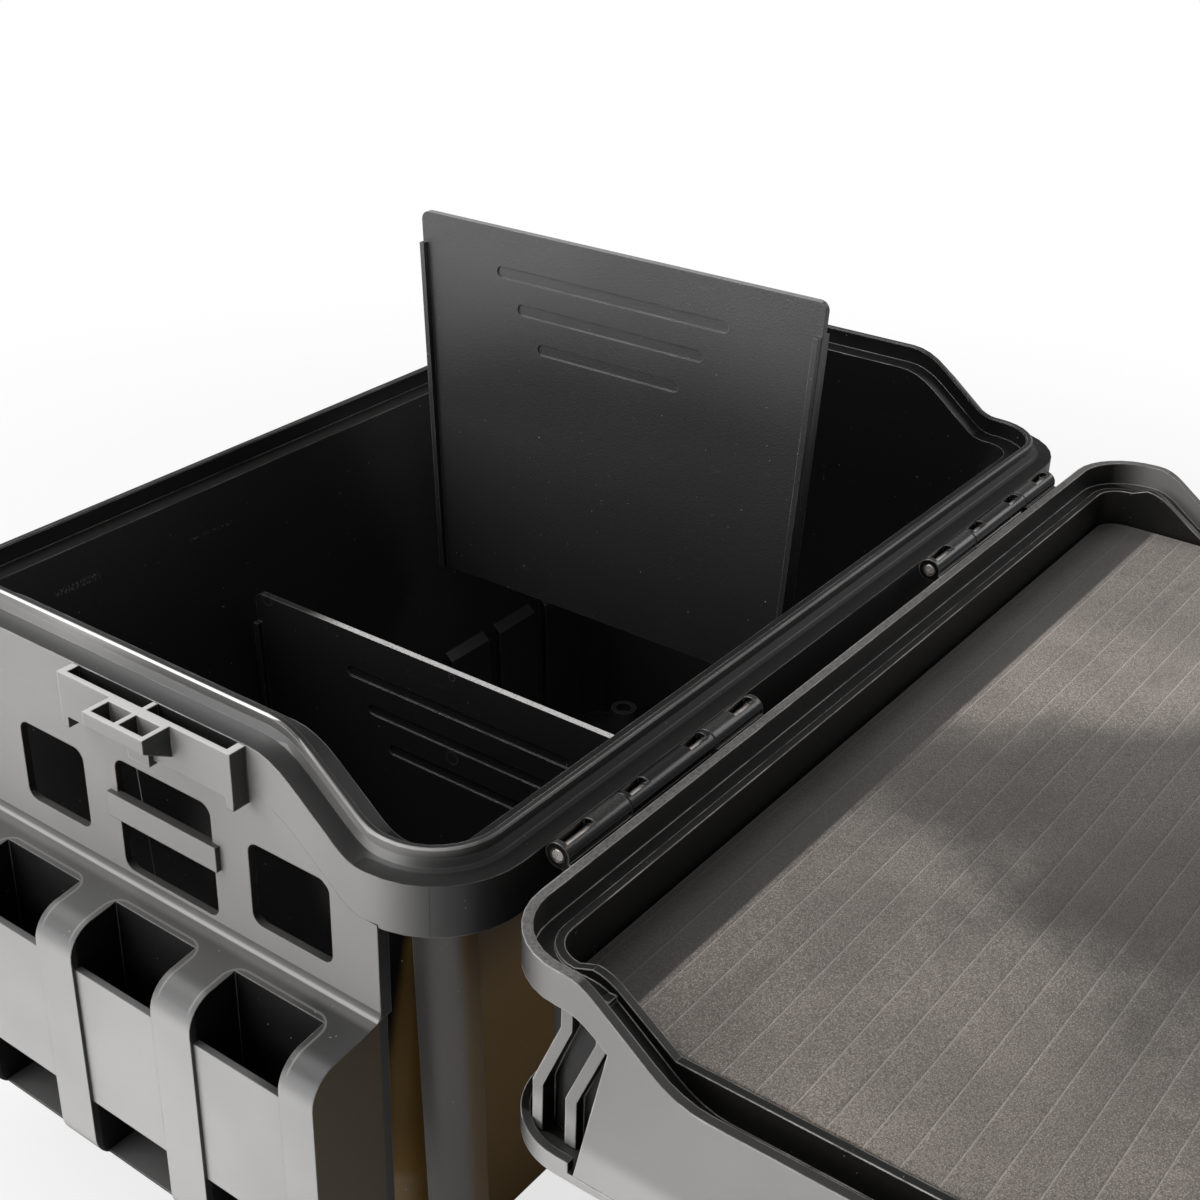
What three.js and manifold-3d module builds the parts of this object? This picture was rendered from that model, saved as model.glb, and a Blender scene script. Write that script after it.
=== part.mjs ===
// Tackle seat box with its seat lid folded right back, one divider in place and one lifted.
// Millimetres, +Z up, +X toward the end with the bracket, +Y toward the hinges.
// The origin is on the floor, below the middle of the box.
import * as THREE from 'three';
import { mergeVertices } from 'three/addons/utils/BufferGeometryUtils.js';
import Module from 'manifold-3d';

const wasm = await Module();
wasm.setup();

// Sizes shared by the whole box
const wall = 3;              // moulded wall
const seat = 0.3;            // clearance between pieces that touch
const overrun = 2;           // how far a cutting solid runs past the face it cuts
const weld = 1;              // how far joined solids of one moulding run into each other
const arcSteps = 8;          // facets in a quarter turn
const mergeWithin = 0.001;   // points nearer than this are one
const halves = [-1, 1];

// Rim: a thin lip, a flat ledge outside it that the lid rests on, and a skirt
const rim = {
  halfLength: 214,           // to the outer face of the lip
  halfWidth: 140,
  cornerRadius: 25,
  top: 229.3,                // lip top along the long sides, above the ground
  lip: 3,
  ledgeDrop: 7,              // lip top to ledge
  flareRise: 3.4,            // height of the curved foot of the lip
  flareOut: 3.9,
  flareRiseShare: 0.3,       // where the curve turns, as shares of its height and width
  flareOutShare: 0.4,
  ledgeOut: 9,               // lip face to skirt face
  ledgeThick: 2.8,
  skirtHeight: 19,
  skirtThick: 2.6,
  innerLedge: 9,             // inner ledge, from the lip inward
  innerDrop: 8,
  innerCrease: 1.5,          // how far the wall below stands inside the inner ledge's edge
  bevel: 0.6,
};

// Wave of the rim at both ends: flat and high in the middle, then down a straight slope
const wave = {
  rise: 25.6,
  slopeShare: 0.81,          // drop over run of the slope
  topInset: 63.4,            // from the lip's long side to where slope and flat would meet
  topBlend: 9,
  footBlend: 5,
  blendShares: [-1, -0.5, 0, 0.5, 1], // points along each blend
};
wave.topCorner = rim.halfWidth - wave.topInset;
wave.footCorner = wave.topCorner + wave.rise / wave.slopeShare;

// Tub: the inside of the box. Above the knee its walls flare out to the inner ledge
const tub = {
  kneeDrop: 119,             // lip top to the knee
  endInset: 21.5,            // lip to the inside face at the knee
  sideInset: 39.8,
  endLean: 3.5,              // how far the walls lean in from the knee down to the floor
  sideLean: 4.8,
  cornerRadius: 12,
};
tub.halfLengthKnee = rim.halfLength - tub.endInset;
tub.halfWidthKnee = rim.halfWidth - tub.sideInset;
tub.halfLengthFloor = tub.halfLengthKnee - tub.endLean;
tub.halfWidthFloor = tub.halfWidthKnee - tub.sideLean;
tub.floorTop = wall;
tub.kneeZ = rim.top - tub.kneeDrop;
tub.depth = tub.kneeZ - tub.floorTop;

// Guide pads low on the long walls: the slots between them take the dividers
const guide = {
  pitch: 38.8,
  slot: 9.4,
  proud: 4.1,
  lead: 3.8,                 // height of the sloping top
  height: 91,                // floor to the top of a pad
  endRoom: 14,               // end wall to the nearest place for a pad
  slotShare: 0.5,            // where a slot stands between two pads
};
guide.slotsPerSide = Math.floor((tub.halfLengthFloor - guide.endRoom) / guide.pitch);

// Round bosses over the four feet, inside
const boss = { endInset: 19, sideInset: 33.4, radius: 13, topRadius: 7, height: 22, bore: 4.5, boreDepth: 5 };
boss.x = tub.halfLengthFloor - boss.endInset;
boss.y = tub.halfWidthFloor - boss.sideInset;

// Corner posts that carry the rim down to the feet
const post = {
  radius: 15,                // outer corner of the post, about the lip's own corner centre
  leanX: 12,                 // how far it leans in over its height
  leanY: 4,
  returnX: 5,                // web beside the end wall
  returnY: 20,               // web beside the long wall
};
const foot = { thick: 6, grow: 2, reach: 24 };

// End panel below the skirt, with four windows
const panel = {
  sideInset: 16,             // lip's long side to the panel's side edge
  middle: -4.6,              // the whole end moulding sits a little to the front
  drop: 61.5,                // lip top to the crease where the rack begins
  edge: 5,                   // depth of the turned side edge
  windowRadius: 4.5,
};
panel.halfWidth = rim.halfWidth - panel.sideInset;
const windows = [            // share of the half width, depth below the lip top, and size
  { share: -0.697, drop: 34.5, width: 35.8, height: 32.4 },
  { share: -0.231, drop: 33.4, width: 34, height: 32.8 },
  { share: 0.231, drop: 35, width: 46.5, height: 45.4 },
  { share: 0.697, drop: 34.5, width: 35.8, height: 32.4 },
];
for (const one of windows) one.y = one.share * panel.halfWidth;
const tallWindow = windows[2];
const strap = { over: 3.3, height: 9.7, thick: 3.4, proud: 2.2, drop: 31.1 };

// Rack of four tool pockets below the end panel
const rack = {
  middle: 1.6,               // from the middle of the end moulding
  pitchShare: 0.472,         // of the end panel's half width
  pocketShare: 0.682,        // of the pitch
  pocketBack: 10.4,          // panel face to the pocket's back edge
  depth: 31.6,               // panel face to the front of the ribs
  fall: 3,                   // slope of the shelf
  noseRadius: 12,
  height: 107,
  frontRecess: 1.5,          // pocket front behind the ribs
  frontDrop: 19,             // crease to the top edge of a pocket front
  frontHeight: 59,
  slotHeight: 27,            // opening below each pocket front
  floorThick: 3,
  skin: 2.6,
  ribSkin: 4.1,              // thickness above the hollow of a rib
  pocketShares: [-1.5, -0.5, 0.5, 1.5], // middles of the pockets, in pitches
  ribShares: [-2, -1, 0, 1, 2],
};
rack.pitch = rack.pitchShare * panel.halfWidth;
rack.pocketWidth = rack.pocketShare * rack.pitch;

// Bracket on the end panel: a long open trough and a small box with two cells
const bracket = {
  y: 30.8,                   // from the middle of the end moulding
  width: 81.6,
  depth: 6.8,
  height: 16.5,
  rise: 18.6,                // its top above the lip top
  skin: 2,
  end: 3,                    // end walls
  endDrop: 4.4,              // how far they reach below the trough
  boxWidth: 28.4,
  boxDepth: 12.4,
  boxFront: 5,               // height of the box at its front
  boxBack: 12,
  boxFloor: 4,               // its floor at the back
  tongueWidth: 10,
  tongueDrop: 1.5,
  tongueThick: 3.4,
};

// Dividers: tapered plates with a flange down each side and three grooves
const divider = {
  height: 175,
  spread: 9.1,               // how much further it reaches at the top than at the foot
  footRoom: 1.1,             // to the tub's inside face at each side
  thick: 3,
  flange: 8.8,               // width of the side flanges, across the slot
  flangeThick: 2.4,
  flangeDrop: 14,            // top edge to the flange
  cornerRadius: 4,
  grooveDeep: 0.8,
  grooveHigh: 5,
  seatedShift: 11,           // the seated one's grooves, toward the hinges
  lift: 145.6,               // the lifted one, above its seat
};
divider.halfFoot = tub.halfWidthFloor - divider.footRoom;
divider.halfTop = divider.halfFoot + divider.spread;
const grooves = [            // half length, and depth below the top edge
  { half: 60, drop: 19.7 },
  { half: 48.5, drop: 34.8 },
  { half: 37.2, drop: 50.8 },
];

// Hinges: half-open knuckles on body and lid, with a steel pin each
const hinge = {
  out: 6.2,                  // pin axis beyond the skirt face
  radius: 4.5,
  bore: 2.3,
  pin: 2,
  gap: 0.5,                  // between knuckles
  leaf: 3,
  cap: 2,
  openShare: 0.25,           // length of each opening in a body knuckle
  nearInset: 33.5,           // +X end of the near hinge, from the lip's end
  farInset: 150,             // +X end of the far hinge, from the other end
};
const knuckleLengths = [33.5, 48.4, 29.5]; // lid, body, lid
const hingeStarts = [rim.halfLength - hinge.nearInset, hinge.farInset - rim.halfLength];

// Seat lid, measured in its closed place
const lid = {
  rest: 0.3,                 // above the ledge
  bandHeight: 12.3,
  bandThick: 3.4,
  tighter: 8,                // its corners, sharper than the skirt's
  channelRoof: 3.2,          // above the lip top
  wallEnd: 3.9,              // main wall at the ends, inside the lip's outer face
  wallSide: -0.5,            // the same at the long sides, where it stands over the lip
  wallRadius: 14,            // corner of the main wall
  waveInset: 18,             // lip's long side to where the main wall's wave is over
  perch: 2.6,                // step up of the wall's free edge away from the ends
  wallDown: 0.3,             // how far it reaches below the lip top
  height: 66,                // lip top to the top of the main wall
  ceiling: 21.5,             // underside of the inner plate above the lip top
  noseShare: 0.68,           // how much of the wave the inner wall's edge follows
  footInset: 36,             // lip's long side to the end plate's side edge, at the band
  headInset: 24,
};
lid.plateFoot = rim.halfWidth - lid.footInset;
lid.plateHead = rim.halfWidth - lid.headInset;
const lidRib = { thick: 4, foot: 22, knee: 48, shift: 10.4, insets: [14.1, 26.6] };
const mat = {
  thick: 3.7,
  gap: 1,
  groovePitch: 11,
  groovePhase: 1.5,          // first groove beyond the middle
  grooveWide: 0.9,
  grooveDeep: 0.8,
  grooveShort: 2,
};
const cover = { thick: 3, edge: 3, flange: 4, rise: 2.4 };
const cushion = { inset: 12, thick: 7, radius: 20, crown: 1.6 };

// Latches on the front, shown hanging open
const latch = {
  endInset: 102,             // lip's end to the middle of the lever
  width: 46,
  out: 6.8,                  // pivot beyond the skirt face
  drop: 15,                  // pivot below the ledge
  thick: 3,
  hub: 3.6,
  pin: 1.5,
  bore: 1.8,
  hook: 3.4,
  over: 6,                   // how far the hook reaches over the band
  lugThick: 4,
  plateThick: 2.2,
  plateHeight: 13,
  gap: 0.4,
  hang: 150,                 // degrees from closed to hanging
  grip: 8,                   // finger tab beyond the arm
};
latch.x = rim.halfLength - latch.endInset;

// Places worked out from the sizes above
const ledgeTop = rim.top - rim.ledgeDrop;
const skirtX = rim.halfLength + rim.ledgeOut;
const skirtY = rim.halfWidth + rim.ledgeOut;
const postFoot = foot.thick + seat;
const panelFoot = rim.top - panel.drop;
const innerLedgeTop = rim.top - rim.innerDrop;
const innerEdge = rim.lip + rim.innerLedge; // lip's outer face to the inner ledge's edge
const bracketTop = rim.top + bracket.rise;
const hingeY = skirtY + hinge.out;
const hingeZ = ledgeTop;
const cornerX = rim.halfLength - rim.cornerRadius;
const cornerY = rim.halfWidth - rim.cornerRadius;

// Solids

function toSolid(geometry) {
  const bare = geometry.index ? geometry.toNonIndexed() : geometry.clone();
  bare.deleteAttribute('normal');
  bare.deleteAttribute('uv');
  const merged = mergeVertices(bare, mergeWithin);
  return new wasm.Manifold(new wasm.Mesh({
    numProp: 3,
    vertProperties: new Float32Array(merged.attributes.position.array),
    triVerts: new Uint32Array(merged.index.array),
  }));
}

function toGeometry(solid) {
  const { vertProperties, triVerts, numProp } = solid.getMesh();
  const points = new Float32Array((vertProperties.length / numProp) * 3);
  for (let i = 0; i < points.length / 3; i++) {
    for (let k = 0; k < 3; k++) points[3 * i + k] = vertProperties[numProp * i + k];
  }
  const geometry = new THREE.BufferGeometry();
  geometry.setAttribute('position', new THREE.BufferAttribute(points, 3));
  geometry.setIndex(Array.from(triVerts));
  return geometry;
}

function join(solids) {
  return solids.reduce((sum, one) => sum.add(one));
}

function cut(solid, tools) {
  return tools.reduce((left, one) => left.subtract(one), solid);
}

// A box between two corners
function block([x0, y0, z0], [x1, y1, z1]) {
  const geometry = new THREE.BoxGeometry(x1 - x0, y1 - y0, z1 - z0);
  return toSolid(geometry.translate((x0 + x1) / 2, (y0 + y1) / 2, (z0 + z1) / 2));
}

function extrude(outline, depth) {
  const shape = outline instanceof THREE.Shape
    ? outline
    : new THREE.Shape(outline.map(([u, v]) => new THREE.Vector2(u, v)));
  return new THREE.ExtrudeGeometry(shape, { depth, bevelEnabled: false, curveSegments: arcSteps });
}

// An outline in Y and Z, run along X from x0 to x1
function prismX(outline, x0, x1) {
  const turn = new THREE.Matrix4().makeBasis(
    new THREE.Vector3(0, 1, 0), new THREE.Vector3(0, 0, 1), new THREE.Vector3(1, 0, 0));
  return toSolid(extrude(outline, x1 - x0).applyMatrix4(turn).translate(x0, 0, 0));
}

// An outline in X and Z, run along Y from y0 to y1
function prismY(outline, y0, y1) {
  const turn = new THREE.Matrix4().makeBasis(
    new THREE.Vector3(1, 0, 0), new THREE.Vector3(0, 0, 1), new THREE.Vector3(0, -1, 0));
  return toSolid(extrude(outline, y1 - y0).applyMatrix4(turn).translate(0, y1, 0));
}

// An outline in X and Y, run along Z from z0 to z1
function prismZ(outline, z0, z1) {
  return toSolid(extrude(outline, z1 - z0).translate(0, 0, z0));
}

// A bar along X: round, of the given radius
function rod(radius, x0, x1, y, z, sides = 4 * arcSteps) {
  const geometry = new THREE.CylinderGeometry(radius, radius, x1 - x0, sides);
  return toSolid(geometry.rotateZ(Math.PI / 2).translate((x0 + x1) / 2, y, z));
}

// An upright turned shape from a profile of radius and height
function turned(profile, x, y, z) {
  const points = profile.map(([radius, height]) => new THREE.Vector2(radius, height));
  const geometry = new THREE.LatheGeometry(points, 4 * arcSteps);
  return toSolid(geometry.rotateX(Math.PI / 2).translate(x, y, z));
}

function roundedRect(width, height, radius, u = 0, v = 0) {
  const shape = new THREE.Shape();
  const [w, h] = [width / 2, height / 2];
  shape.absarc(u + w - radius, v + h - radius, radius, 0, Math.PI / 2);
  shape.absarc(u - w + radius, v + h - radius, radius, Math.PI / 2, Math.PI);
  shape.absarc(u - w + radius, v - h + radius, radius, Math.PI, 1.5 * Math.PI);
  shape.absarc(u + w - radius, v - h + radius, radius, 1.5 * Math.PI, 2 * Math.PI);
  shape.closePath();
  return shape;
}

// Height of the wave at a distance y from the middle of an end
function waveAt(y) {
  const { rise, slopeShare: s, topCorner, footCorner, topBlend: t, footBlend: f } = wave;
  const u = Math.abs(y);
  if (u <= topCorner - t) return rise;
  if (u <= topCorner + t) return rise - s * (u - topCorner + t) ** 2 / (4 * t);
  if (u <= footCorner - f) return rise - s * (u - topCorner);
  if (u <= footCorner + f) return s * (footCorner + f - u) ** 2 / (4 * f);
  return 0;
}

// Distances from the middle of an end where the wave has a point, as shares of the straight part
function waveShares() {
  const { topCorner, footCorner, topBlend: t, footBlend: f } = wave;
  const blend = (middle, reach) => wave.blendShares.map((share) => middle + share * reach);
  const half = [...blend(topCorner, t), ...blend(footCorner, f), cornerY];
  return [...half.map((y) => -y).reverse(), ...half].map((y) => y / cornerY);
}

// One closed loop round a rounded rectangle, anticlockwise, with the wave added at the ends.
// Every loop has its points at the same shares, so loops can be lofted to each other.
// Away from the ends' straight parts it stands higher by perch. The wave spans reach each way,
// or else the whole straight part.
function loop({ halfLength, halfWidth, radius, z, follow = 0, most = wave.rise, perch = 0, reach }) {
  const [cx, cy] = [halfLength - radius, halfWidth - radius];
  const points = [];
  for (const side of [1, -1]) {
    for (const share of waveShares()) {
      const last = Math.abs(share) === 1;
      const lift = last ? perch : Math.min(follow * waveAt(share * cornerY), most);
      points.push([side * halfLength, side * share * (last ? cy : reach ?? cy), z + lift]);
    }
    for (const turn of [0, 1]) {
      for (let i = 1; i < arcSteps + (turn ? 0 : 1); i++) {
        const angle = (turn + i / arcSteps) * Math.PI / 2;
        const sx = turn ? -side * cx : side * cx;
        const [across, along] = [radius * Math.cos(angle), radius * Math.sin(angle)];
        points.push([sx + side * across, side * (cy + along), z + perch]);
      }
      if (!turn) points.push([-side * cx, side * halfWidth, z + perch]);
    }
  }
  return points;
}

// The loop that stands off the lip's outer face by out
function offset(out, z, follow = 1, most = wave.rise) {
  return loop({
    halfLength: rim.halfLength + out,
    halfWidth: rim.halfWidth + out,
    radius: rim.cornerRadius + out,
    z, follow, most,
  });
}

// A closed ring through loops: each loop is joined to the next and the last to the first
function ringLoft(loops) {
  const count = loops[0].length;
  const index = [];
  for (let j = 0; j < loops.length; j++) {
    const next = (j + 1) % loops.length;
    for (let i = 0; i < count; i++) {
      const k = (i + 1) % count;
      const [a, b] = [j * count + i, j * count + k];
      const [c, d] = [next * count + k, next * count + i];
      index.push(a, b, c, a, c, d);
    }
  }
  const geometry = new THREE.BufferGeometry();
  geometry.setAttribute('position', new THREE.Float32BufferAttribute(loops.flat(2), 3));
  geometry.setIndex(index);
  return toSolid(geometry);
}

// A closed solid from a loop at the bottom and one like it at the top
function lean(bottom, top) {
  const count = bottom.length;
  const index = [];
  for (let i = 0; i < count; i++) {
    const k = (i + 1) % count;
    index.push(i, k, count + k, i, count + k, count + i);
  }
  const flat = bottom.map(([x, y]) => new THREE.Vector2(x, y));
  for (const [a, b, c] of THREE.ShapeUtils.triangulateShape(flat, [])) {
    index.push(a, c, b, count + a, count + b, count + c);
  }
  const geometry = new THREE.BufferGeometry();
  geometry.setAttribute('position', new THREE.Float32BufferAttribute([...bottom, ...top].flat(), 3));
  geometry.setIndex(index);
  return toSolid(geometry);
}

function arc(cx, cy, radius, from, to) {
  return Array.from({ length: arcSteps + 1 }, (_, i) => {
    const angle = from + (to - from) * i / arcSteps;
    return [cx + radius * Math.cos(angle), cy + radius * Math.sin(angle)];
  });
}

// The same solid at the far end: turned half a turn about Z
function turnedRound(solid) {
  return solid.rotate([0, 0, 180]);
}

// Materials

const plastic = new THREE.MeshStandardMaterial({ color: 0x2c2b2a, roughness: 0.5, metalness: 0 });
const panelPlastic = new THREE.MeshStandardMaterial({ color: 0x383736, roughness: 0.45, metalness: 0 });
const dividerPlastic = new THREE.MeshStandardMaterial({ color: 0x232323, roughness: 0.5, metalness: 0 });
const rubber = new THREE.MeshStandardMaterial({ color: 0x1a1a1a, roughness: 0.9, metalness: 0 });
const foam = new THREE.MeshStandardMaterial({ color: 0x6e6662, roughness: 0.95, metalness: 0 });
const steel = new THREE.MeshStandardMaterial({ color: 0xc9c9c7, roughness: 0.25, metalness: 1 });

// Body: rim and tub in one moulding

const tubLoop = (grow, atFloor, z) => loop({
  halfLength: (atFloor ? tub.halfLengthFloor : tub.halfLengthKnee) + grow,
  halfWidth: (atFloor ? tub.halfWidthFloor : tub.halfWidthKnee) + grow,
  radius: tub.cornerRadius + grow,
  z,
});

function bodyShell() {
  const { top, lip, bevel, flareRise, flareOut, ledgeOut, ledgeThick, skirtThick } = rim;
  const skirtFoot = ledgeTop - rim.skirtHeight;
  const bottom = tub.floorTop - wall;
  const shell = ringLoft([
    offset(-bevel, top),
    offset(-lip + bevel, top),
    offset(-lip, top - bevel),
    offset(-lip, innerLedgeTop),
    offset(-innerEdge, innerLedgeTop),
    tubLoop(0, false, tub.kneeZ),
    tubLoop(0, true, bottom),
    tubLoop(wall, true, bottom),
    tubLoop(wall, false, tub.kneeZ),
    offset(rim.innerCrease - innerEdge, innerLedgeTop - wall),
    offset(-bevel, ledgeTop - ledgeThick),
    offset(ledgeOut - skirtThick, ledgeTop - ledgeThick),
    offset(ledgeOut - skirtThick, skirtFoot),
    offset(ledgeOut, skirtFoot),
    offset(ledgeOut, ledgeTop),
    offset(flareOut, ledgeTop),
    offset(rim.flareOutShare * flareOut, ledgeTop + rim.flareRiseShare * flareRise),
    offset(0, ledgeTop + flareRise),
    offset(0, top - bevel),
  ]);
  const floorShape = roundedRect(2 * (tub.halfLengthFloor + weld), 2 * (tub.halfWidthFloor + weld),
    tub.cornerRadius + weld);
  const floor = prismZ(floorShape, bottom, tub.floorTop);
  return cut(join([shell, floor, ...guidePads(), ...bosses(), ...bodyKnuckles()]), bossBores());
}

// Inside half width of the tub at a height above the ground
function tubHalfWidth(z) {
  const share = (z - tub.floorTop) / tub.depth;
  return tub.halfWidthFloor + share * (tub.halfWidthKnee - tub.halfWidthFloor);
}

function guidePads() {
  const top = tub.floorTop + guide.height;
  const footHalf = tubHalfWidth(tub.floorTop);
  const topHalf = tubHalfWidth(top);
  const pads = [];
  for (const side of halves) {
    const outline = [
      [side * (footHalf + weld), tub.floorTop - weld],
      [side * (topHalf + weld), top],
      [side * topHalf, top],
      [side * (tubHalfWidth(top - guide.lead) - guide.proud), top - guide.lead],
      [side * (footHalf - guide.proud), tub.floorTop - weld],
    ];
    for (let i = -guide.slotsPerSide; i <= guide.slotsPerSide; i++) {
      const half = (guide.pitch - guide.slot) / 2;
      pads.push(prismX(outline, i * guide.pitch - half, i * guide.pitch + half));
    }
  }
  return pads;
}

// X of the slots, symmetrical about the middle
function slotAt(i) {
  return (i + guide.slotShare) * guide.pitch;
}

function bosses() {
  const { radius, topRadius, height } = boss;
  const profile = [[0, -weld], [radius, -weld], [radius, 0], [topRadius, height], [0, height]];
  return corners((sx, sy) => turned(profile, sx * boss.x, sy * boss.y, tub.floorTop));
}

function bossBores() {
  const { bore, height, boreDepth } = boss;
  const profile = [[0, height - boreDepth], [bore, height - boreDepth], [bore, height + overrun],
    [0, height + overrun]];
  return corners((sx, sy) => turned(profile, sx * boss.x, sy * boss.y, tub.floorTop));
}

function corners(make) {
  return halves.flatMap((sx) => halves.map((sy) => make(sx, sy)));
}

// Hinge knuckles

// One knuckle along X: a barrel on a leaf, with its top cut away where open is true.
// side is +1 where the leaf runs toward the box and -1 where it runs toward the lid.
function knuckle(x0, x1, opens, side, z) {
  const leafEnd = hingeY - side * (hinge.out + weld);
  const barrel = rod(hinge.radius, x0, x1, hingeY, z);
  const [y0, y1] = side > 0 ? [leafEnd, hingeY] : [hingeY, leafEnd];
  const leaf = block([x0, y0, z - hinge.radius], [x1, y1, z - hinge.radius + hinge.leaf]);
  const tools = [rod(hinge.bore, x0 - overrun, x1 + overrun, hingeY, z)];
  for (const [from, to] of opens) {
    tools.push(block([from, hingeY - hinge.bore, z], [to, hingeY + hinge.bore, z + hinge.radius + overrun]));
  }
  return cut(join([barrel, leaf]), tools);
}

// Each hinge runs from its +X end: lid knuckle, body knuckle, lid knuckle
function knuckleSpans(start) {
  const [first, middle, last] = knuckleLengths;
  const g = hinge.gap / 2;
  return {
    lidNear: [start - first + g, start],
    body: [start - first - middle + g, start - first - g],
    lidFar: [start - first - middle - last, start - first - middle - g],
  };
}

function bodyKnuckles() {
  return hingeStarts.map((start) => {
    const [x0, x1] = knuckleSpans(start).body;
    const open = hinge.openShare * (x1 - x0);
    const opens = [[x0 + hinge.cap, x0 + open], [x1 - open, x1 - hinge.cap]];
    return knuckle(x0, x1, opens, 1, hingeZ);
  });
}

function lidKnuckles() {
  return hingeStarts.flatMap((start) => {
    const { lidNear, lidFar } = knuckleSpans(start);
    const nearOpen = [(lidNear[0] + lidNear[1]) / 2, lidNear[1] - hinge.cap];
    const farOpen = [lidFar[0] + hinge.cap, (lidFar[0] + lidFar[1]) / 2];
    return [
      knuckle(lidNear[0], lidNear[1], [nearOpen], -1, hingeZ),
      knuckle(lidFar[0], lidFar[1], [farOpen], -1, hingeZ),
    ];
  });
}

function hingePin(start) {
  const length = knuckleLengths.reduce((sum, one) => sum + one);
  return rod(hinge.pin, start - length, start, hingeY, hingeZ);
}

// Corner posts and feet

// Section of a post at the +X +Y corner: a quarter round with a web at each side
function postSection(z, share) {
  const [dx, dy] = [-post.leanX * share, -post.leanY * share];
  const { radius } = post;
  const inner = radius - wall;
  const turn = Math.asin(wall / inner);
  const points = [
    [cornerX + radius - post.returnX, cornerY],
    ...arc(cornerX, cornerY, radius, 0, Math.PI / 2),
    [cornerX, cornerY + radius - post.returnY],
    [cornerX + wall, cornerY + radius - post.returnY],
    ...arc(cornerX, cornerY, inner, Math.PI / 2 - turn, turn),
    [cornerX + radius - post.returnX, cornerY + wall],
  ];
  return points.map(([x, y]) => [x + dx, y + dy, z]);
}

function cornerPost() {
  const top = innerLedgeTop - wall - seat;
  const whole = lean(postSection(postFoot, 1), postSection(top, 0));
  return cut(whole, [tubEnvelope()]);
}

// The outside of the tub, with clearance, to fit other pieces against it
function tubEnvelope() {
  const grow = wall + seat;
  const floorLoop = tubLoop(grow, true, tub.floorTop - wall - seat);
  const kneeLoop = tubLoop(grow, false, tub.kneeZ - seat);
  const ledgeLoop = offset(rim.innerCrease - innerEdge + seat, innerLedgeTop - wall - seat, 0);
  return join([lean(floorLoop, kneeLoop), lean(kneeLoop, ledgeLoop)]);
}

function footPad() {
  const { radius, leanX, leanY } = post;
  const r = radius + foot.grow;
  const [cx, cy] = [cornerX - leanX, cornerY - leanY];
  const outline = [
    ...arc(cx, cy, r, 0, Math.PI / 2),
    [cx + r - foot.reach, cy + r],
    [cx + r - foot.reach, cy + r - foot.reach],
    [cx + r, cy + r - foot.reach],
  ];
  return prismZ(outline, 0, foot.thick);
}

function placed(solid, sx, sy) {
  return solid.scale([sx, sy, 1]);
}

// End panel: hangs flush below the skirt, its top edge following the wave

function endPanel() {
  const { halfWidth, edge, windowRadius } = panel;
  const top = ledgeTop - rim.skirtHeight - seat;
  const spots = waveShares().map((share) => share * cornerY);
  const outline = [
    [-halfWidth, panelFoot], [halfWidth, panelFoot], [halfWidth, top],
    ...spots.reverse().map((y) => [y - panel.middle, top + waveAt(y)]),
    [-halfWidth, top],
  ];
  const plate = prismX(outline, skirtX - wall, skirtX);
  const edges = halves.map((side) => {
    const [y0, y1] = [side * (halfWidth - wall), side * halfWidth].sort((a, b) => a - b);
    return block([skirtX - edge, y0, panelFoot], [skirtX - weld, y1, top]);
  });
  const holes = windows.map(({ y, drop, width, height }) => prismX(
    roundedRect(width, height, windowRadius, y, rim.top - drop), skirtX - wall - overrun, skirtX + overrun));
  return join([cut(join([plate, ...edges]), holes), strapBar()]);
}

// Proud bar across the tall window, held at both ends
function strapBar() {
  const half = tallWindow.width / 2 + strap.over;
  const middle = rim.top - strap.drop;
  const front = skirtX + strap.proud;
  return block([front - strap.thick, tallWindow.y - half, middle - strap.height / 2],
    [front, tallWindow.y + half, middle + strap.height / 2]);
}

// Pocket rack: a sloping shelf with a round nose, four open pockets, and windows below their fronts

function rackProfile(x0, drop) {
  const { depth, fall, noseRadius: r, height } = rack;
  const front = skirtX + depth - drop;
  const top = panelFoot - seat;
  const foot = top - height;
  return [
    [x0, foot + drop], ...arc(front - r, foot + drop + r, r, -Math.PI / 2, 0),
    ...arc(front - r, top - fall - r - drop, r, 0, Math.PI / 2), [x0, top - drop],
  ];
}

function pocketRack() {
  const { pitch, pocketWidth, pocketBack, depth, fall, height, skin, floorThick } = rack;
  const half = panel.halfWidth;
  const back = skirtX - wall;
  const top = panelFoot - seat;
  const foot = top - height;
  const front = skirtX + depth;
  const body = prismY(rackProfile(back, 0), -half, half);
  const tools = [];
  const middles = rack.pocketShares.map((share) => rack.middle + share * pitch);
  for (const y of middles) {
    const [y0, y1] = [y - pocketWidth / 2, y + pocketWidth / 2];
    const pocketX = skirtX + pocketBack;
    const frontInner = front - rack.frontRecess - skin;
    const frontTop = top - rack.frontDrop;
    const frontFoot = frontTop - rack.frontHeight;
    tools.push(
      block([pocketX, y0, foot + floorThick], [frontInner, y1, top + overrun]),
      block([pocketX, y0, frontTop], [front + overrun, y1, top + overrun]),
      block([front - rack.frontRecess, y0, frontFoot], [front + overrun, y1, frontTop + weld]),
      block([frontInner - weld, y0, frontFoot - rack.slotHeight], [front + overrun, y1, frontFoot]),
    );
  }
  // Hollow behind the pockets, and up inside each rib
  tools.push(block([back - overrun, -half + skin, foot - overrun],
    [skirtX + pocketBack - skin, half - skin, top - fall - skin]));
  const ribs = rack.ribShares.map((share) => rack.middle + share * pitch);
  for (const y of ribs) {
    const y0 = Math.max(y - (pitch - pocketWidth) / 2, -half) + skin;
    const y1 = Math.min(y + (pitch - pocketWidth) / 2, half) - skin;
    tools.push(prismY(rackProfile(back - overrun, rack.ribSkin), y0, y1));
  }
  return cut(body, tools);
}

// Bracket: a trough against the skirt, open at top and bottom, with a small two-cell box in front

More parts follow.
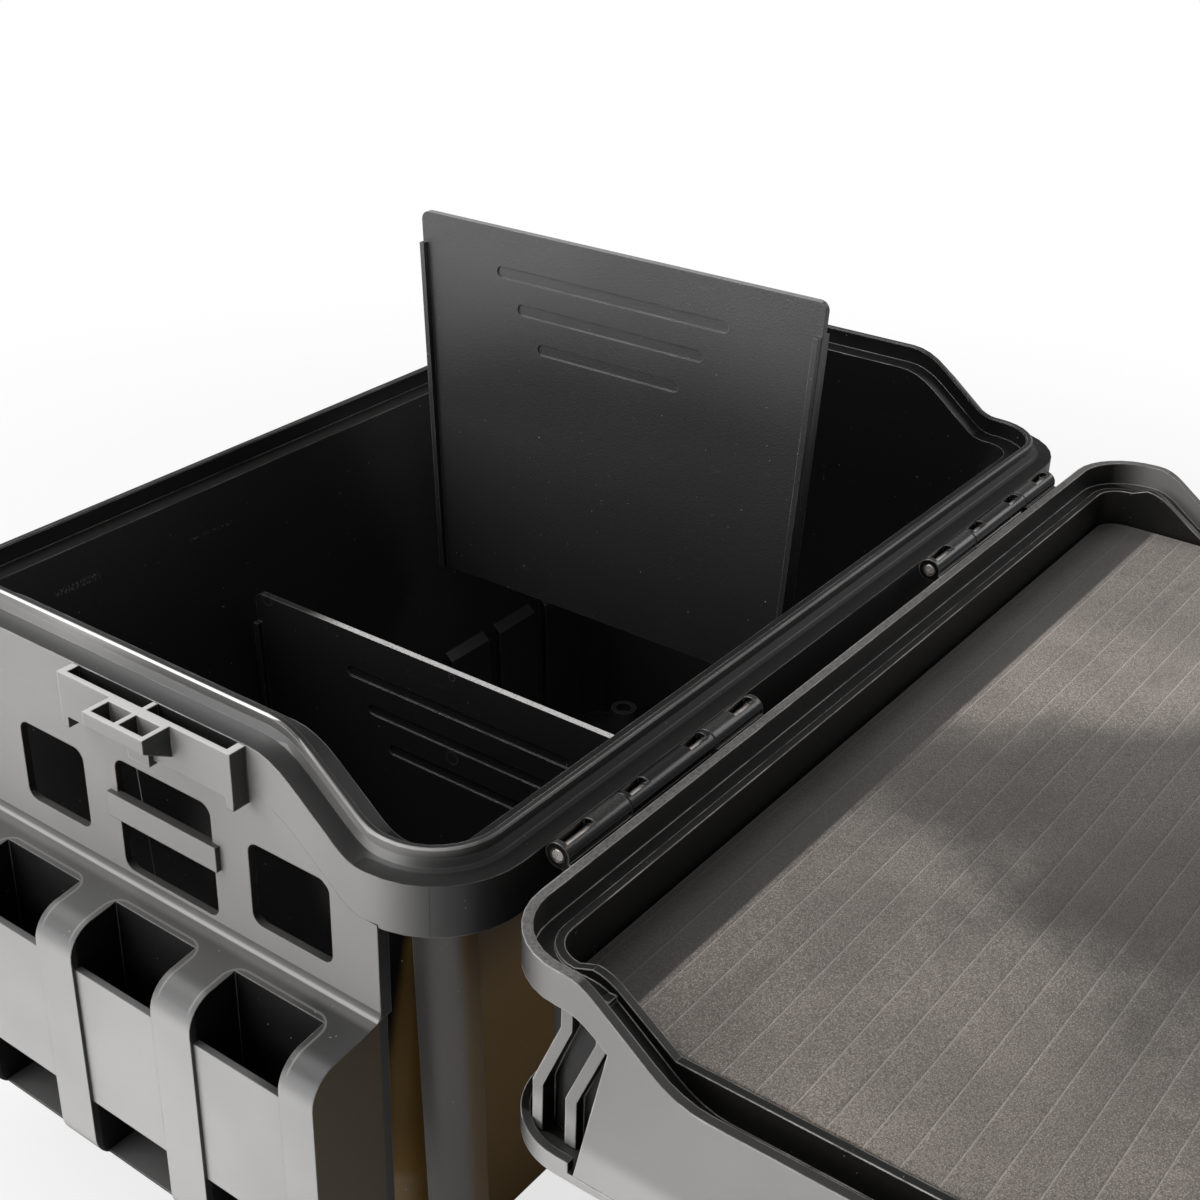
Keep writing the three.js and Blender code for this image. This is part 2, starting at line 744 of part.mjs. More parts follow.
function accessoryBracket() {
  const { y, width, depth, height, skin, end, endDrop, boxWidth, boxDepth } = bracket;
  const top = bracketTop;
  const back = skirtX + seat;
  const front = back + depth;
  const [y0, y1] = [y - width / 2, y + width / 2];
  const foot = top - height;
  const parts = [
    block([front - skin, y0, foot], [front, y1, top]),
    block([back, y0, foot - endDrop], [front, y0 + end, top]),
    block([back, y1 - end, foot - endDrop], [front, y1, top]),
    block([back, y - skin / 2, foot], [front, y + skin / 2, top]),
    block([front - weld, y - bracket.tongueWidth / 2, foot - bracket.tongueDrop],
      [front + bracket.tongueThick - weld, y + bracket.tongueWidth / 2, top - bracket.boxBack + weld]),
  ];
  const out = front - weld + boxDepth;
  const box = prismY([[front - weld, top - bracket.boxBack], [out, top - bracket.boxFront],
    [out, top], [front - weld, top]], y - boxWidth / 2, y + boxWidth / 2);
  const cell = (from, to) => prismY([
    [front + skin, top - bracket.boxBack + bracket.boxFloor], [out - skin, top - bracket.boxFront + skin],
    [out - skin, top + overrun], [front + skin, top + overrun]], from, to);
  const cells = [
    cell(y - boxWidth / 2 + skin, y - skin / 2),
    cell(y + skin / 2, y + boxWidth / 2 - skin),
  ];
  return join([...parts, cut(box, cells)]);
}

// Divider plate, its foot at z = 0, its grooves shifted along Y

function dividerPlate(shift) {
  const { height, halfTop, halfFoot, thick, flange, flangeThick, flangeDrop, cornerRadius: r } = divider;
  const outline = [
    [-halfFoot, 0], [halfFoot, 0],
    ...arc(halfTop - r, height - r, r, 0, Math.PI / 2),
    ...arc(-halfTop + r, height - r, r, Math.PI / 2, Math.PI),
  ];
  const plate = prismX(outline, -thick / 2, thick / 2);
  const slopeAt = (z) => halfFoot + (halfTop - halfFoot) * z / height;
  const flangeTop = height - flangeDrop;
  const flanges = halves.map((side) => {
    const shape = [
      [side * (halfFoot - flangeThick), 0], [side * halfFoot, 0],
      [side * slopeAt(flangeTop), flangeTop], [side * (slopeAt(flangeTop) - flangeThick), flangeTop],
    ];
    return prismX(shape, -flange / 2, flange / 2);
  });
  const cuts = grooves.flatMap(({ half, drop }) => halves.map((side) => {
    const shape = roundedRect(2 * half, divider.grooveHigh, divider.grooveHigh / 2, shift, height - drop);
    const [x0, x1] = side > 0
      ? [thick / 2 - divider.grooveDeep, thick / 2 + overrun]
      : [-thick / 2 - overrun, -thick / 2 + divider.grooveDeep];
    return prismX(shape, x0, x1);
  }));
  return cut(join([plate, ...flanges]), cuts);
}

// Lid, in its closed place

function lidShell() {
  const bandFoot = ledgeTop + lid.rest;
  const bandTop = bandFoot + lid.bandHeight;
  const bandInner = rim.ledgeOut - lid.bandThick;
  const roof = rim.top + lid.channelRoof;
  const head = rim.top + lid.height;
  const nose = rim.top - lid.wallDown;
  const most = lid.noseShare * wave.rise;
  const shell = ringLoft([
    wallLoop(0, { z: head }), wallLoop(wall, { z: head }),
    wallLoop(wall, { z: nose, follow: 1, most, perch: lid.perch }),
    wallLoop(0, { z: nose, follow: 1, most, perch: lid.perch }),
    wallLoop(0, { z: roof, follow: 1 }), bandLoop(bandInner, roof),
    bandLoop(bandInner, bandFoot), bandLoop(rim.ledgeOut, bandFoot),
    bandLoop(rim.ledgeOut, bandTop), wallLoop(0, { z: bandTop, follow: 1 }),
  ]);
  const under = rim.top + lid.ceiling;
  const ceiling = prismZ(wallOutline(wall - weld), under, under + wall);
  return join([shell, ceiling, ...lidEndPlates(bandTop, head), ...lidRibs(bandTop, head), ...lidKnuckleSet()]);
}

// A loop of the band, with sharper corners than the skirt
function bandLoop(out, z) {
  return loop({
    halfLength: rim.halfLength + out,
    halfWidth: rim.halfWidth + out,
    radius: rim.cornerRadius + out - lid.tighter,
    z, follow: 1,
  });
}

// A loop of the main wall, inset from its outer face
function wallLoop(inset, heights) {
  return loop({
    halfLength: rim.halfLength - lid.wallEnd - inset,
    halfWidth: rim.halfWidth - lid.wallSide - inset,
    radius: lid.wallRadius - inset,
    reach: rim.halfWidth - lid.waveInset,
    ...heights,
  });
}

// The main wall's outline from above, inset from its outer face
function wallOutline(inset) {
  const [halfLength, halfWidth] = [rim.halfLength - lid.wallEnd - inset, rim.halfWidth - lid.wallSide - inset];
  return roundedRect(2 * halfLength, 2 * halfWidth, lid.wallRadius - inset);
}

// Rounded rectangle that stands off the lip's outer face by out, with corners as sharp as the band's
function outlineOf(out, radius = rim.cornerRadius + out - lid.tighter) {
  return roundedRect(2 * (rim.halfLength + out), 2 * (rim.halfWidth + out), radius);
}

// Plates flush with the band in the middle of each end
function lidEndPlates(bandTop, head) {
  const { plateFoot, plateHead } = lid;
  const spots = waveShares().map((share) => share * cornerY).filter((y) => Math.abs(y) < plateFoot);
  const outline = [
    [-plateFoot, bandTop - weld + waveAt(plateFoot)],
    ...spots.map((y) => [y, bandTop - weld + waveAt(y)]),
    [plateFoot, bandTop - weld + waveAt(plateFoot)], [plateHead, head], [-plateHead, head],
  ];
  const one = prismX(outline, skirtX - wall, skirtX);
  return [one, turnedRound(one)];
}

// Kinked ribs beside the end plates
function lidRibs(bandTop, head) {
  const { thick, foot: low, knee, shift, insets } = lidRib;
  const core = prismZ(wallOutline(weld), bandTop - overrun, head + overrun);
  const reach = prismZ(outlineOf(rim.ledgeOut - cover.edge - seat), bandTop - overrun, head + overrun);
  const ribs = insets.map((inset) => {
    const y = rim.halfWidth - inset;
    const centre = [[y, bandTop - weld], [y, rim.top + low], [y + shift, rim.top + knee], [y + shift, head]];
    const outline = [
      ...centre.map(([u, v]) => [u + thick / 2, v]),
      ...centre.map(([u, v]) => [u - thick / 2, v]).reverse(),
    ];
    return prismX(outline, cornerX, rim.halfLength).intersect(reach).subtract(core);
  });
  return corners((sx, sy) => join(ribs).scale([sx, sy, 1]));
}

// The lid's knuckles are drawn open side up, as they lie with the lid folded back
function lidKnuckleSet() {
  return lidKnuckles().map((one) => folded(one));
}

// Half a turn about the hinge pins: closed to folded back, and the other way
function folded(solid) {
  return solid.translate([0, -hingeY, -hingeZ]).rotate([180, 0, 0]).translate([0, hingeY, hingeZ]);
}

function lidMat() {
  const under = rim.top + lid.ceiling - seat - mat.thick;
  const inset = wall + mat.gap;
  const sheet = prismZ(wallOutline(inset), under, under + mat.thick);
  const halfLength = rim.halfLength - lid.wallEnd - inset - mat.grooveShort;
  const halfWidth = rim.halfWidth - lid.wallSide - inset;
  const count = Math.floor(halfWidth / mat.groovePitch);
  const tools = [];
  for (let i = -count; i <= count; i++) {
    const y = i * mat.groovePitch + mat.groovePhase;
    if (Math.abs(y) > halfWidth - mat.groovePitch / 2) continue;
    tools.push(block([-halfLength, y - mat.grooveWide / 2, under - overrun],
      [halfLength, y + mat.grooveWide / 2, under + mat.grooveDeep]));
  }
  return cut(sheet, tools);
}

// Seat cover that closes the lid on top, with its edge turned down
function lidCover() {
  const under = rim.top + lid.height + seat;
  const plate = prismZ(outlineOf(rim.ledgeOut), under, under + cover.thick);
  const flange = prismZ(outlineOf(rim.ledgeOut), under - cover.flange, under + weld);
  const hollow = prismZ(outlineOf(rim.ledgeOut - cover.edge), under - cover.flange - overrun, under);
  const border = prismZ(outlineOf(rim.ledgeOut - cover.edge), under, under + cover.thick + cover.rise);
  const wellFloor = under + cover.thick;
  const well = prismZ(outlineOf(-cushion.inset, cushion.radius + seat), wellFloor, wellFloor + cover.rise + overrun);
  const slots = halves.map((side) => block(
    side > 0 ? [skirtX - wall - seat, -lid.plateHead - overrun, under - cover.flange - overrun]
      : [-skirtX - overrun, -lid.plateHead - overrun, under - cover.flange - overrun],
    side > 0 ? [skirtX + overrun, lid.plateHead + overrun, under]
      : [-skirtX + wall + seat, lid.plateHead + overrun, under]));
  return cut(join([plate, cut(flange, [hollow, ...slots]), border]), [well]);
}

// Foam seat cushion in the cover's well, a little crowned
function seatCushion() {
  const under = rim.top + lid.height + seat + cover.thick + seat;
  const inset = -cushion.inset - seat;
  const rows = [[0, 0], [0, cushion.thick - cushion.crown], [cushion.crown, cushion.thick]];
  const loops = rows.map(([shrink, up]) => loop({
    halfLength: rim.halfLength + inset - shrink,
    halfWidth: rim.halfWidth + inset - shrink,
    radius: cushion.radius - shrink,
    z: under + up,
  }));
  const stack = [lean(loops[0], loops[1]), lean(loops[1], loops[2])];
  return join(stack);
}

// Latches: a plate on the skirt with two lugs, a pin, and a lever that hooks over the band

function latchMount() {
  const { width, out, drop, hub, lugThick, plateThick, plateHeight, gap, bore } = latch;
  const y = -skirtY - seat;
  const z = ledgeTop - drop;
  const plate = block([-width / 2 - lugThick - gap, y - plateThick, z - plateHeight / 2],
    [width / 2 + lugThick + gap, y, z + plateHeight / 2]);
  const lugs = halves.map((side) => {
    const [x0, x1] = [side * (width / 2 + gap), side * (width / 2 + gap + lugThick)].sort((a, b) => a - b);
    return join([
      rod(hub, x0, x1, -skirtY - out, z),
      block([x0, -skirtY - out, z - hub], [x1, y - weld, z + hub]),
    ]);
  });
  const tool = rod(bore, -width, width, -skirtY - out, z);
  return cut(join([plate, ...lugs]), [tool]);
}

// Lever in its closed place: hub, flat arm, hook over the band and a slanting finger tab
function latchLever() {
  const { width, out, drop, thick, hub, hook, over, bore, grip } = latch;
  const y = -skirtY - out;
  const z = ledgeTop - drop;
  const roof = ledgeTop + lid.rest + lid.bandHeight + seat;
  const outer = y - hub;
  const arm = [
    [outer, z], [outer, roof - hook], [outer - grip, roof], [outer - grip, roof + thick],
    [outer, roof + hook], [-skirtY + over, roof + hook], [-skirtY + over, roof],
    [outer + thick, roof], [outer + thick, z],
  ];
  const body = prismX(arm, -width / 2, width / 2);
  const barrel = rod(hub, -width / 2, width / 2, y, z);
  const tool = rod(bore, -width, width, y, z);
  return cut(join([body, barrel]), [tool]);
}

function latchPin() {
  const half = latch.width / 2 + latch.gap + latch.lugThick;
  return rod(latch.pin, -half, half, -skirtY - latch.out, ledgeTop - latch.drop);
}

// The assembly

const part = new THREE.Group();

function add(name, solid, material, parent = part) {
  const mesh = new THREE.Mesh(toGeometry(solid), material);
  mesh.name = name;
  parent.add(mesh);
  return mesh;
}

add('body_shell', bodyShell(), plastic);

let number = 1;
for (const [sx, sy] of [[1, 1], [-1, 1], [-1, -1], [1, -1]]) {
  add(`corner_post_${number}`, placed(cornerPost(), sx, sy), plastic);
  add(`foot_${number}`, placed(footPad(), sx, sy), rubber);
  number += 1;
}

for (const [end, turn] of [['near', 0], ['far', Math.PI]]) {
  const moulding = new THREE.Group();
  moulding.rotation.z = turn;
  part.add(moulding);
  const pieces = { end_panel: endPanel(), pocket_rack: pocketRack(), accessory_bracket: accessoryBracket() };
  for (const [name, solid] of Object.entries(pieces)) {
    add(`${name}_${end}`, solid, panelPlastic, moulding).position.y = panel.middle;
  }
}

const seatZ = tub.floorTop + seat;
add('divider_seated', dividerPlate(divider.seatedShift), dividerPlastic).position.set(slotAt(1), 0, seatZ);
add('divider_lifted', dividerPlate(0), dividerPlastic).position.set(slotAt(-2), 0, seatZ + divider.lift);

// The lid group turns about the hinge pins; it is drawn closed and folded back half a turn
const lidFrame = new THREE.Group();
lidFrame.position.set(0, hingeY, hingeZ);
lidFrame.rotation.x = -Math.PI;
const lidParts = new THREE.Group();
lidParts.position.set(0, -hingeY, -hingeZ);
lidFrame.add(lidParts);
part.add(lidFrame);
add('lid_shell', lidShell(), plastic, lidParts);
add('lid_mat', lidMat(), foam, lidParts);
add('lid_cover', lidCover(), plastic, lidParts);
add('seat_cushion', seatCushion(), foam, lidParts);

add('hinge_pin_near', hingePin(hingeStarts[0]), steel);
add('hinge_pin_far', hingePin(hingeStarts[1]), steel);

for (const [side, sx] of [['right', 1], ['left', -1]]) {
  const x = sx * latch.x;
  add(`latch_mount_${side}`, latchMount(), plastic).position.x = x;
  add(`latch_pin_${side}`, latchPin(), steel).position.x = x;
  const pivot = new THREE.Group();
  pivot.position.set(x, -skirtY - latch.out, ledgeTop - latch.drop);
  pivot.rotation.x = THREE.MathUtils.degToRad(latch.hang);
  part.add(pivot);
  add(`latch_${side}`, latchLever(), plastic, pivot).position.set(0, skirtY + latch.out, latch.drop - ledgeTop);
}

export default part;
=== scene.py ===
import bpy
import bmesh
import math
import numpy as np
from mathutils import Matrix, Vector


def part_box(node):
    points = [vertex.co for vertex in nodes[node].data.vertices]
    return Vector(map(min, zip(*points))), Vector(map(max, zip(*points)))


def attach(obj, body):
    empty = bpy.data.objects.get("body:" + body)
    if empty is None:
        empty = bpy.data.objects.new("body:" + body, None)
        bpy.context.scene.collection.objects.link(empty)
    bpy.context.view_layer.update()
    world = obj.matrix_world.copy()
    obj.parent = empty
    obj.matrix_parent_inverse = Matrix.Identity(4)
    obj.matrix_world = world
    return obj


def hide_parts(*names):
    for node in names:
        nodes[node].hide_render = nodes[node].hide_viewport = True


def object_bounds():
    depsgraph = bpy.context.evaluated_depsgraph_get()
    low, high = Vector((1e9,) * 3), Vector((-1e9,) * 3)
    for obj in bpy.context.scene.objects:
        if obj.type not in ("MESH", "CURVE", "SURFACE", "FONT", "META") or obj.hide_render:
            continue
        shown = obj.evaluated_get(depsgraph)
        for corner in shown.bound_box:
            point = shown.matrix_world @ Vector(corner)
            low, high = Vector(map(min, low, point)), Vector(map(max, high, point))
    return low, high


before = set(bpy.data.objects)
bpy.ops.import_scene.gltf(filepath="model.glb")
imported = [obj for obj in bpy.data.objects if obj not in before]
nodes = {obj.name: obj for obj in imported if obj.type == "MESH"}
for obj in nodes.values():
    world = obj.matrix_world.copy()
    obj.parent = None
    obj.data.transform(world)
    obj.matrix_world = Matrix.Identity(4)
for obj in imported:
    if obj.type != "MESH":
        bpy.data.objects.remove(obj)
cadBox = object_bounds()
print("frame loaded:", len(nodes), "nodes")

photoCamera = {
    "place": (0.53633, 0.42110, 0.54586),
    "turn": (62.5146, -0.2775, 128.1458),   # degrees, XYZ
    "lens": 53.766,
    "shift": (0.06058, -0.01271),
    "sensor": 36,
    "nearest": 0.01,
}


def addCamera(look):
    data = bpy.data.cameras.new("photoCamera")
    data.sensor_width = look["sensor"]
    data.lens = look["lens"]
    data.shift_x, data.shift_y = look["shift"]
    data.clip_start = look["nearest"]
    camera = bpy.data.objects.new("photoCamera", data)
    bpy.context.scene.collection.objects.link(camera)
    camera.location = look["place"]
    camera.rotation_euler = [math.radians(a) for a in look["turn"]]
    bpy.context.scene.camera = camera


addCamera(photoCamera)

studio = {
    "floorSize": 9.0,
    "floorColour": (0.80, 0.80, 0.80, 1),
    "floorRough": 0.8,
    "floorShine": 0.1,
    "worldLevel": 0.30,
    "white": (1, 1, 1, 1),
    "whiteLevel": 1.0,
    "glow": (0.50, 1.05, 0.74, 1.0),        # floor seen as white: from, to, and its share at each
    "lamps": [
        # name, place, aim, size, power
        ("endLamp", (1.75, -0.75, 0.75), (0.1, 0.0, 0.15), (1.5, 1.0), 26),
        ("topLamp", (0.5, -1.0, 1.8), (0.0, 0.15, 0.1), (1.8, 1.2), 26),
        ("backLamp", (-1.5, 0.9, 1.2), (0.0, 0.1, 0.2), (0.9, 0.9), 6),
    ],
}


def pointAt(obj, target):
    away = np.array(obj.location) - np.array(target)
    away /= np.linalg.norm(away)
    side = np.cross((0, 0, 1), away)
    side /= np.linalg.norm(side)
    up = np.cross(away, side)
    turn = Matrix([[side[i], up[i], away[i]] for i in range(3)])
    obj.rotation_euler = turn.to_euler()


def addLamp(name, place, aim, size, power):
    data = bpy.data.lights.new(name, "AREA")
    data.shape = "RECTANGLE"
    data.size, data.size_y = size
    data.energy = power
    lamp = bpy.data.objects.new(name, data)
    bpy.context.scene.collection.objects.link(lamp)
    lamp.location = place
    pointAt(lamp, aim)


def link(tree, a, b):
    tree.links.new(a, b)


def remap(tree, value, low, high, toLow=0.0, toHigh=1.0):
    # toLow at low, toHigh at high, and a smooth step between them
    node = tree.nodes.new("ShaderNodeMapRange")
    node.interpolation_type = "SMOOTHSTEP"
    numbers = {"From Min": low, "From Max": high, "To Min": toLow, "To Max": toHigh}
    for name, number in numbers.items():
        node.inputs[name].default_value = number
    link(tree, value, node.inputs["Value"])
    return node.outputs[0]


def calc(tree, kind, a, b=None):
    node = tree.nodes.new("ShaderNodeMath")
    node.operation = kind
    for socket, value in zip(node.inputs, (a, b)):
        if isinstance(value, (int, float)):
            socket.default_value = value
        elif value is not None:
            link(tree, value, socket)
    return node.outputs[0]


def absolute(tree, value):
    return calc(tree, "ABSOLUTE", value)


def less(tree, a, b):
    return calc(tree, "SUBTRACT", a, b)


def leftOver(tree, share):
    return calc(tree, "SUBTRACT", 1.0, share)


def product(tree, *factors):
    total = factors[0]
    for factor in factors[1:]:
        total = calc(tree, "MULTIPLY", total, factor)
    return total


def distance(tree, a, b):
    return calc(tree, "SQRT", calc(tree, "ADD", product(tree, a, a), product(tree, b, b)))


def nearest(tree, value, places):
    # how far the value is from the nearest of the places
    gaps = [absolute(tree, less(tree, value, at)) for at in places]
    least = gaps[0]
    for gap in gaps[1:]:
        least = calc(tree, "MINIMUM", least, gap)
    return least


def beyond(tree, value, limit):
    # how far |value| passes the limit, never below zero
    return calc(tree, "MAXIMUM", less(tree, absolute(tree, value), limit), 0.0)


def within(tree, value, low, high, soft):
    # 1 between low and high, with soft borders
    return product(tree, remap(tree, value, low - soft, low + soft),
                   remap(tree, value, high + soft, high - soft))


def fraction(tree, value, first, pitch, ahead):
    # how far the value is through its pitch, from 0 to 1; ahead keeps the sum above zero
    steps = calc(tree, "DIVIDE", less(tree, value, first), pitch)
    return calc(tree, "FRACT", calc(tree, "ADD", steps, ahead))


def parts(tree, vector):
    node = tree.nodes.new("ShaderNodeSeparateXYZ")
    link(tree, vector, node.inputs[0])
    return node.outputs


def addFloor(look):
    half = look["floorSize"] / 2
    z = cadBox[0][2]
    corners = [(-half, -half, z), (half, -half, z), (half, half, z), (-half, half, z)]
    mesh = bpy.data.meshes.new("floor")
    mesh.from_pydata(corners, [], [(0, 1, 2, 3)])
    floor = bpy.data.objects.new("floor", mesh)
    bpy.context.scene.collection.objects.link(floor)
    material = bpy.data.materials.new("paleFloor")
    material.use_nodes = True
    tree = material.node_tree
    shader = tree.nodes["Principled BSDF"]
    shader.inputs["Base Color"].default_value = look["floorColour"]
    shader.inputs["Roughness"].default_value = look["floorRough"]
    shader.inputs["Specular IOR Level"].default_value = look["floorShine"]
    paper = tree.nodes.new("ShaderNodeEmission")     # what the camera sees: white paper
    paper.inputs["Color"].default_value = look["white"]
    paper.inputs["Strength"].default_value = look["whiteLevel"]
    path = tree.nodes.new("ShaderNodeLightPath")
    coords = tree.nodes.new("ShaderNodeTexCoord")
    reach = tree.nodes.new("ShaderNodeVectorMath")
    reach.operation = "LENGTH"
    link(tree, coords.outputs["Object"], reach.inputs[0])
    share = product(tree, remap(tree, reach.outputs["Value"], *look["glow"]),
                    path.outputs["Is Camera Ray"])
    mix = tree.nodes.new("ShaderNodeMixShader")
    link(tree, share, mix.inputs[0])
    link(tree, shader.outputs[0], mix.inputs[1])
    link(tree, paper.outputs[0], mix.inputs[2])
    link(tree, mix.outputs[0], tree.nodes["Material Output"].inputs[0])
    mesh.materials.append(material)


def addWorld(look):
    # soft light from all sides, and plain white where the camera looks past the floor
    world = bpy.data.worlds.new("studio")
    bpy.context.scene.world = world
    world.use_nodes = True
    tree = world.node_tree
    soft = tree.nodes["Background"]
    white = tree.nodes.new("ShaderNodeBackground")
    for node, level in ((soft, look["worldLevel"]), (white, look["whiteLevel"])):
        node.inputs["Color"].default_value = look["white"]
        node.inputs["Strength"].default_value = level
    path = tree.nodes.new("ShaderNodeLightPath")
    mix = tree.nodes.new("ShaderNodeMixShader")
    link(tree, path.outputs["Is Camera Ray"], mix.inputs[0])
    link(tree, soft.outputs[0], mix.inputs[1])
    link(tree, white.outputs[0], mix.inputs[2])
    link(tree, mix.outputs[0], tree.nodes["World Output"].inputs[0])


addWorld(studio)
addFloor(studio)
for lamp in studio["lamps"]:
    addLamp(*lamp)
bpy.context.scene.view_settings.view_transform = "Standard"
print("camera, floor and lamps placed")


def startMaterial(name):
    material = bpy.data.materials.new(name)
    material.use_nodes = True
    tree = material.node_tree
    shader = tree.nodes["Principled BSDF"]
    coords = tree.nodes.new("ShaderNodeTexCoord")
    return material, tree, shader, coords


def stretched(tree, coords, scale=(1, 1, 1), turn=(0, 0, 0)):
    mapping = tree.nodes.new("ShaderNodeMapping")
    mapping.inputs["Scale"].default_value = scale
    mapping.inputs["Rotation"].default_value = turn
    link(tree, coords.outputs["Object"], mapping.inputs["Vector"])
    return mapping.outputs[0]


def noise(tree, vector, scale, detail=2.0, rough=0.5, warp=0.0):
    node = tree.nodes.new("ShaderNodeTexNoise")
    node.inputs["Scale"].default_value = scale
    node.inputs["Detail"].default_value = detail
    node.inputs["Roughness"].default_value = rough
    node.inputs["Distortion"].default_value = warp
    link(tree, vector, node.inputs["Vector"])
    return node.outputs["Fac"]


def blendColour(tree, share, low, high, kind="MIX"):
    node = tree.nodes.new("ShaderNodeMix")
    node.data_type = "RGBA"
    node.blend_type = kind
    shareIn, lowIn, highIn = node.inputs[0], node.inputs[6], node.inputs[7]
    for socket, value in ((shareIn, share), (lowIn, low), (highIn, high)):
        if isinstance(value, (int, float)):
            socket.default_value = value
        elif isinstance(value, tuple):
            socket.default_value = (*value, 1)
        else:
            link(tree, value, socket)
    return node.outputs[2]


def multiplied(tree, colour, factor):
    return blendColour(tree, 1.0, colour, factor, "MULTIPLY")


def bumped(tree, height, strength, depth, normal=None):
    node = tree.nodes.new("ShaderNodeBump")
    node.inputs["Strength"].default_value = strength
    node.inputs["Distance"].default_value = depth
    link(tree, height, node.inputs["Height"])
    if normal is not None:
        link(tree, normal, node.inputs["Normal"])
    return node.outputs[0]


bevel = {"samples": 6, "lean": (0.995, 0.86)}   # lean: the cosine on flats and on full edges


def roundedNormal(tree, radius):
    node = tree.nodes.new("ShaderNodeBevel")
    node.samples = bevel["samples"]
    node.inputs["Radius"].default_value = radius
    return node.outputs[0]


def edgeShare(tree, rounded):
    # how far the rounded normal leans away from the face: 0 on flats, 1 on the edges
    place = tree.nodes.new("ShaderNodeNewGeometry")
    dot = tree.nodes.new("ShaderNodeVectorMath")
    dot.operation = "DOT_PRODUCT"
    link(tree, rounded, dot.inputs[0])
    link(tree, place.outputs["Normal"], dot.inputs[1])
    return remap(tree, dot.outputs["Value"], *bevel["lean"])


# In the dictionaries of the faces four numbers are from, to, and the value at each, and two
# are from and to. Heights are z, places along the box x or |x|, and places across it y or |y|.
endFaces = {
    "from": (0.2128, 0.2138),           # distance from the middle at which the ends begin
    # painted reflection: the pale tones of the end faces, upper above the rack and lower on it
    "upper": (0.242, 0.236, 0.231),
    "lower": (0.365, 0.360, 0.357),
    "turnOver": (0.158, 0.166),         # height at which the lower tone gives way
    "uneven": (0.28, 0.72, 0.86, 1.10),
    "falloff": 8.0,                     # power of the outward part of the normal, which shapes the painted reflection
    "upward": (0.4, 0.95),
    "shelf": 0.27,                      # share of the painted light on faces that look up
    "shelfEnd": (0.086, 0.100, 1.0, 0.35),   # the shelf's painted light is weaker towards its hinge end
    # painted light: the bracket's faces that look up are pale, and its edges carry a painted
    # highlight
    "bracket": 0.80,
    "bracketFrom": (0.2275, 0.2295),
    "bracketTop": (0.58, 0.57, 0.56),
    "bracketEdgeHighlight": (0.6, 0.59, 0.58),
    "bracketEdgeHighlightShare": 0.8,
    "topFacing": (0.35, 0.8),
    "wallFrom": (0.2226, 0.2229),       # beyond the skirt's face
    "pocket": (0.2262, 0.2505, 0.1672),  # between these distances and below this height is painted shade
    "pocketFrom": (0.2232, 0.2242),
    "pocketTo": (0.2520, 0.2515),
    "pocketFacing": (0.6, 0.3),
    # painted shade: the pockets' near-black, and their lower shine
    "pocketShade": (0.005, 0.005, 0.005),
    "pocketShine": (0.0, 1.0, 0.5, 0.25),
    "side": (0.1150, 0.1165),           # the rack's outer sides
    "sideFacing": (0.7, 0.9),
    "sideColour": (0.052, 0.034, 0.010),
    "hair": 0.0003,                     # width of a sharp border
}


def alongEnd(tree, place):
    # y, turned round on the far end, which is the near one turned by half a circle
    return product(tree, place[1], calc(tree, "SIGN", place[0]))


def endTone(tree, place, broad, look):
    # the painted reflection's tone, changing with height and unevenly
    tone = blendColour(tree, remap(tree, place[2], *look["turnOver"]), look["lower"], look["upper"])
    return multiplied(tree, tone, remap(tree, broad, *look["uneven"]))


def endReflectionShare(tree, place, facing, look):
    # how much of a point gets the painted reflection of the end faces: |normal x| to a power
    # outside the pockets, and painted light on a share of the faces that look up
    across = absolute(tree, place[0])
    low, high, top = look["pocket"]
    hair = look["hair"]
    slab = product(tree, remap(tree, across, low, low + hair),
                   remap(tree, across, high, high - hair), remap(tree, place[2], top, top - hair))
    front = calc(tree, "POWER", absolute(tree, facing[0]), look["falloff"])
    front = product(tree, front, leftOver(tree, slab))
    level = remap(tree, place[2], *look["bracketFrom"], look["shelf"], look["bracket"])
    up = product(tree, remap(tree, facing[2], *look["upward"]), level,
                 remap(tree, alongEnd(tree, place), *look["shelfEnd"]))
    out = remap(tree, across, *look["from"])
    return product(tree, out, calc(tree, "MAXIMUM", front, up))


def paintEnd(tree, place, facing, colour, tone, shader, look):
    # painted reflection on the end faces, painted light on the bracket's tops, painted shade in the
    # pockets, and brown outer sides of the racks
    across = absolute(tree, place[0])
    colour = blendColour(tree, endReflectionShare(tree, place, facing, look), colour, tone)
    top = product(tree, remap(tree, place[2], *look["bracketFrom"]),
                  remap(tree, facing[2], *look["topFacing"]),
                  remap(tree, across, *look["wallFrom"]))
    colour = blendColour(tree, top, colour, look["bracketTop"])
    below = look["pocket"][2]
    level = product(tree, remap(tree, place[2], below, below - look["hair"]),
                    remap(tree, across, *look["pocketFrom"]))
    outer = product(tree, level, remap(tree, absolute(tree, place[1]), *look["side"]),
                    remap(tree, absolute(tree, facing[1]), *look["sideFacing"]))
    dark = product(tree, level, remap(tree, across, *look["pocketTo"]),
                   remap(tree, absolute(tree, facing[2]), *look["pocketFacing"]),
                   leftOver(tree, outer))
    colour = blendColour(tree, dark, colour, look["pocketShade"])
    link(tree, remap(tree, dark, *look["pocketShine"]), shader.inputs["Specular IOR Level"])
    return blendColour(tree, outer, colour, look["sideColour"])


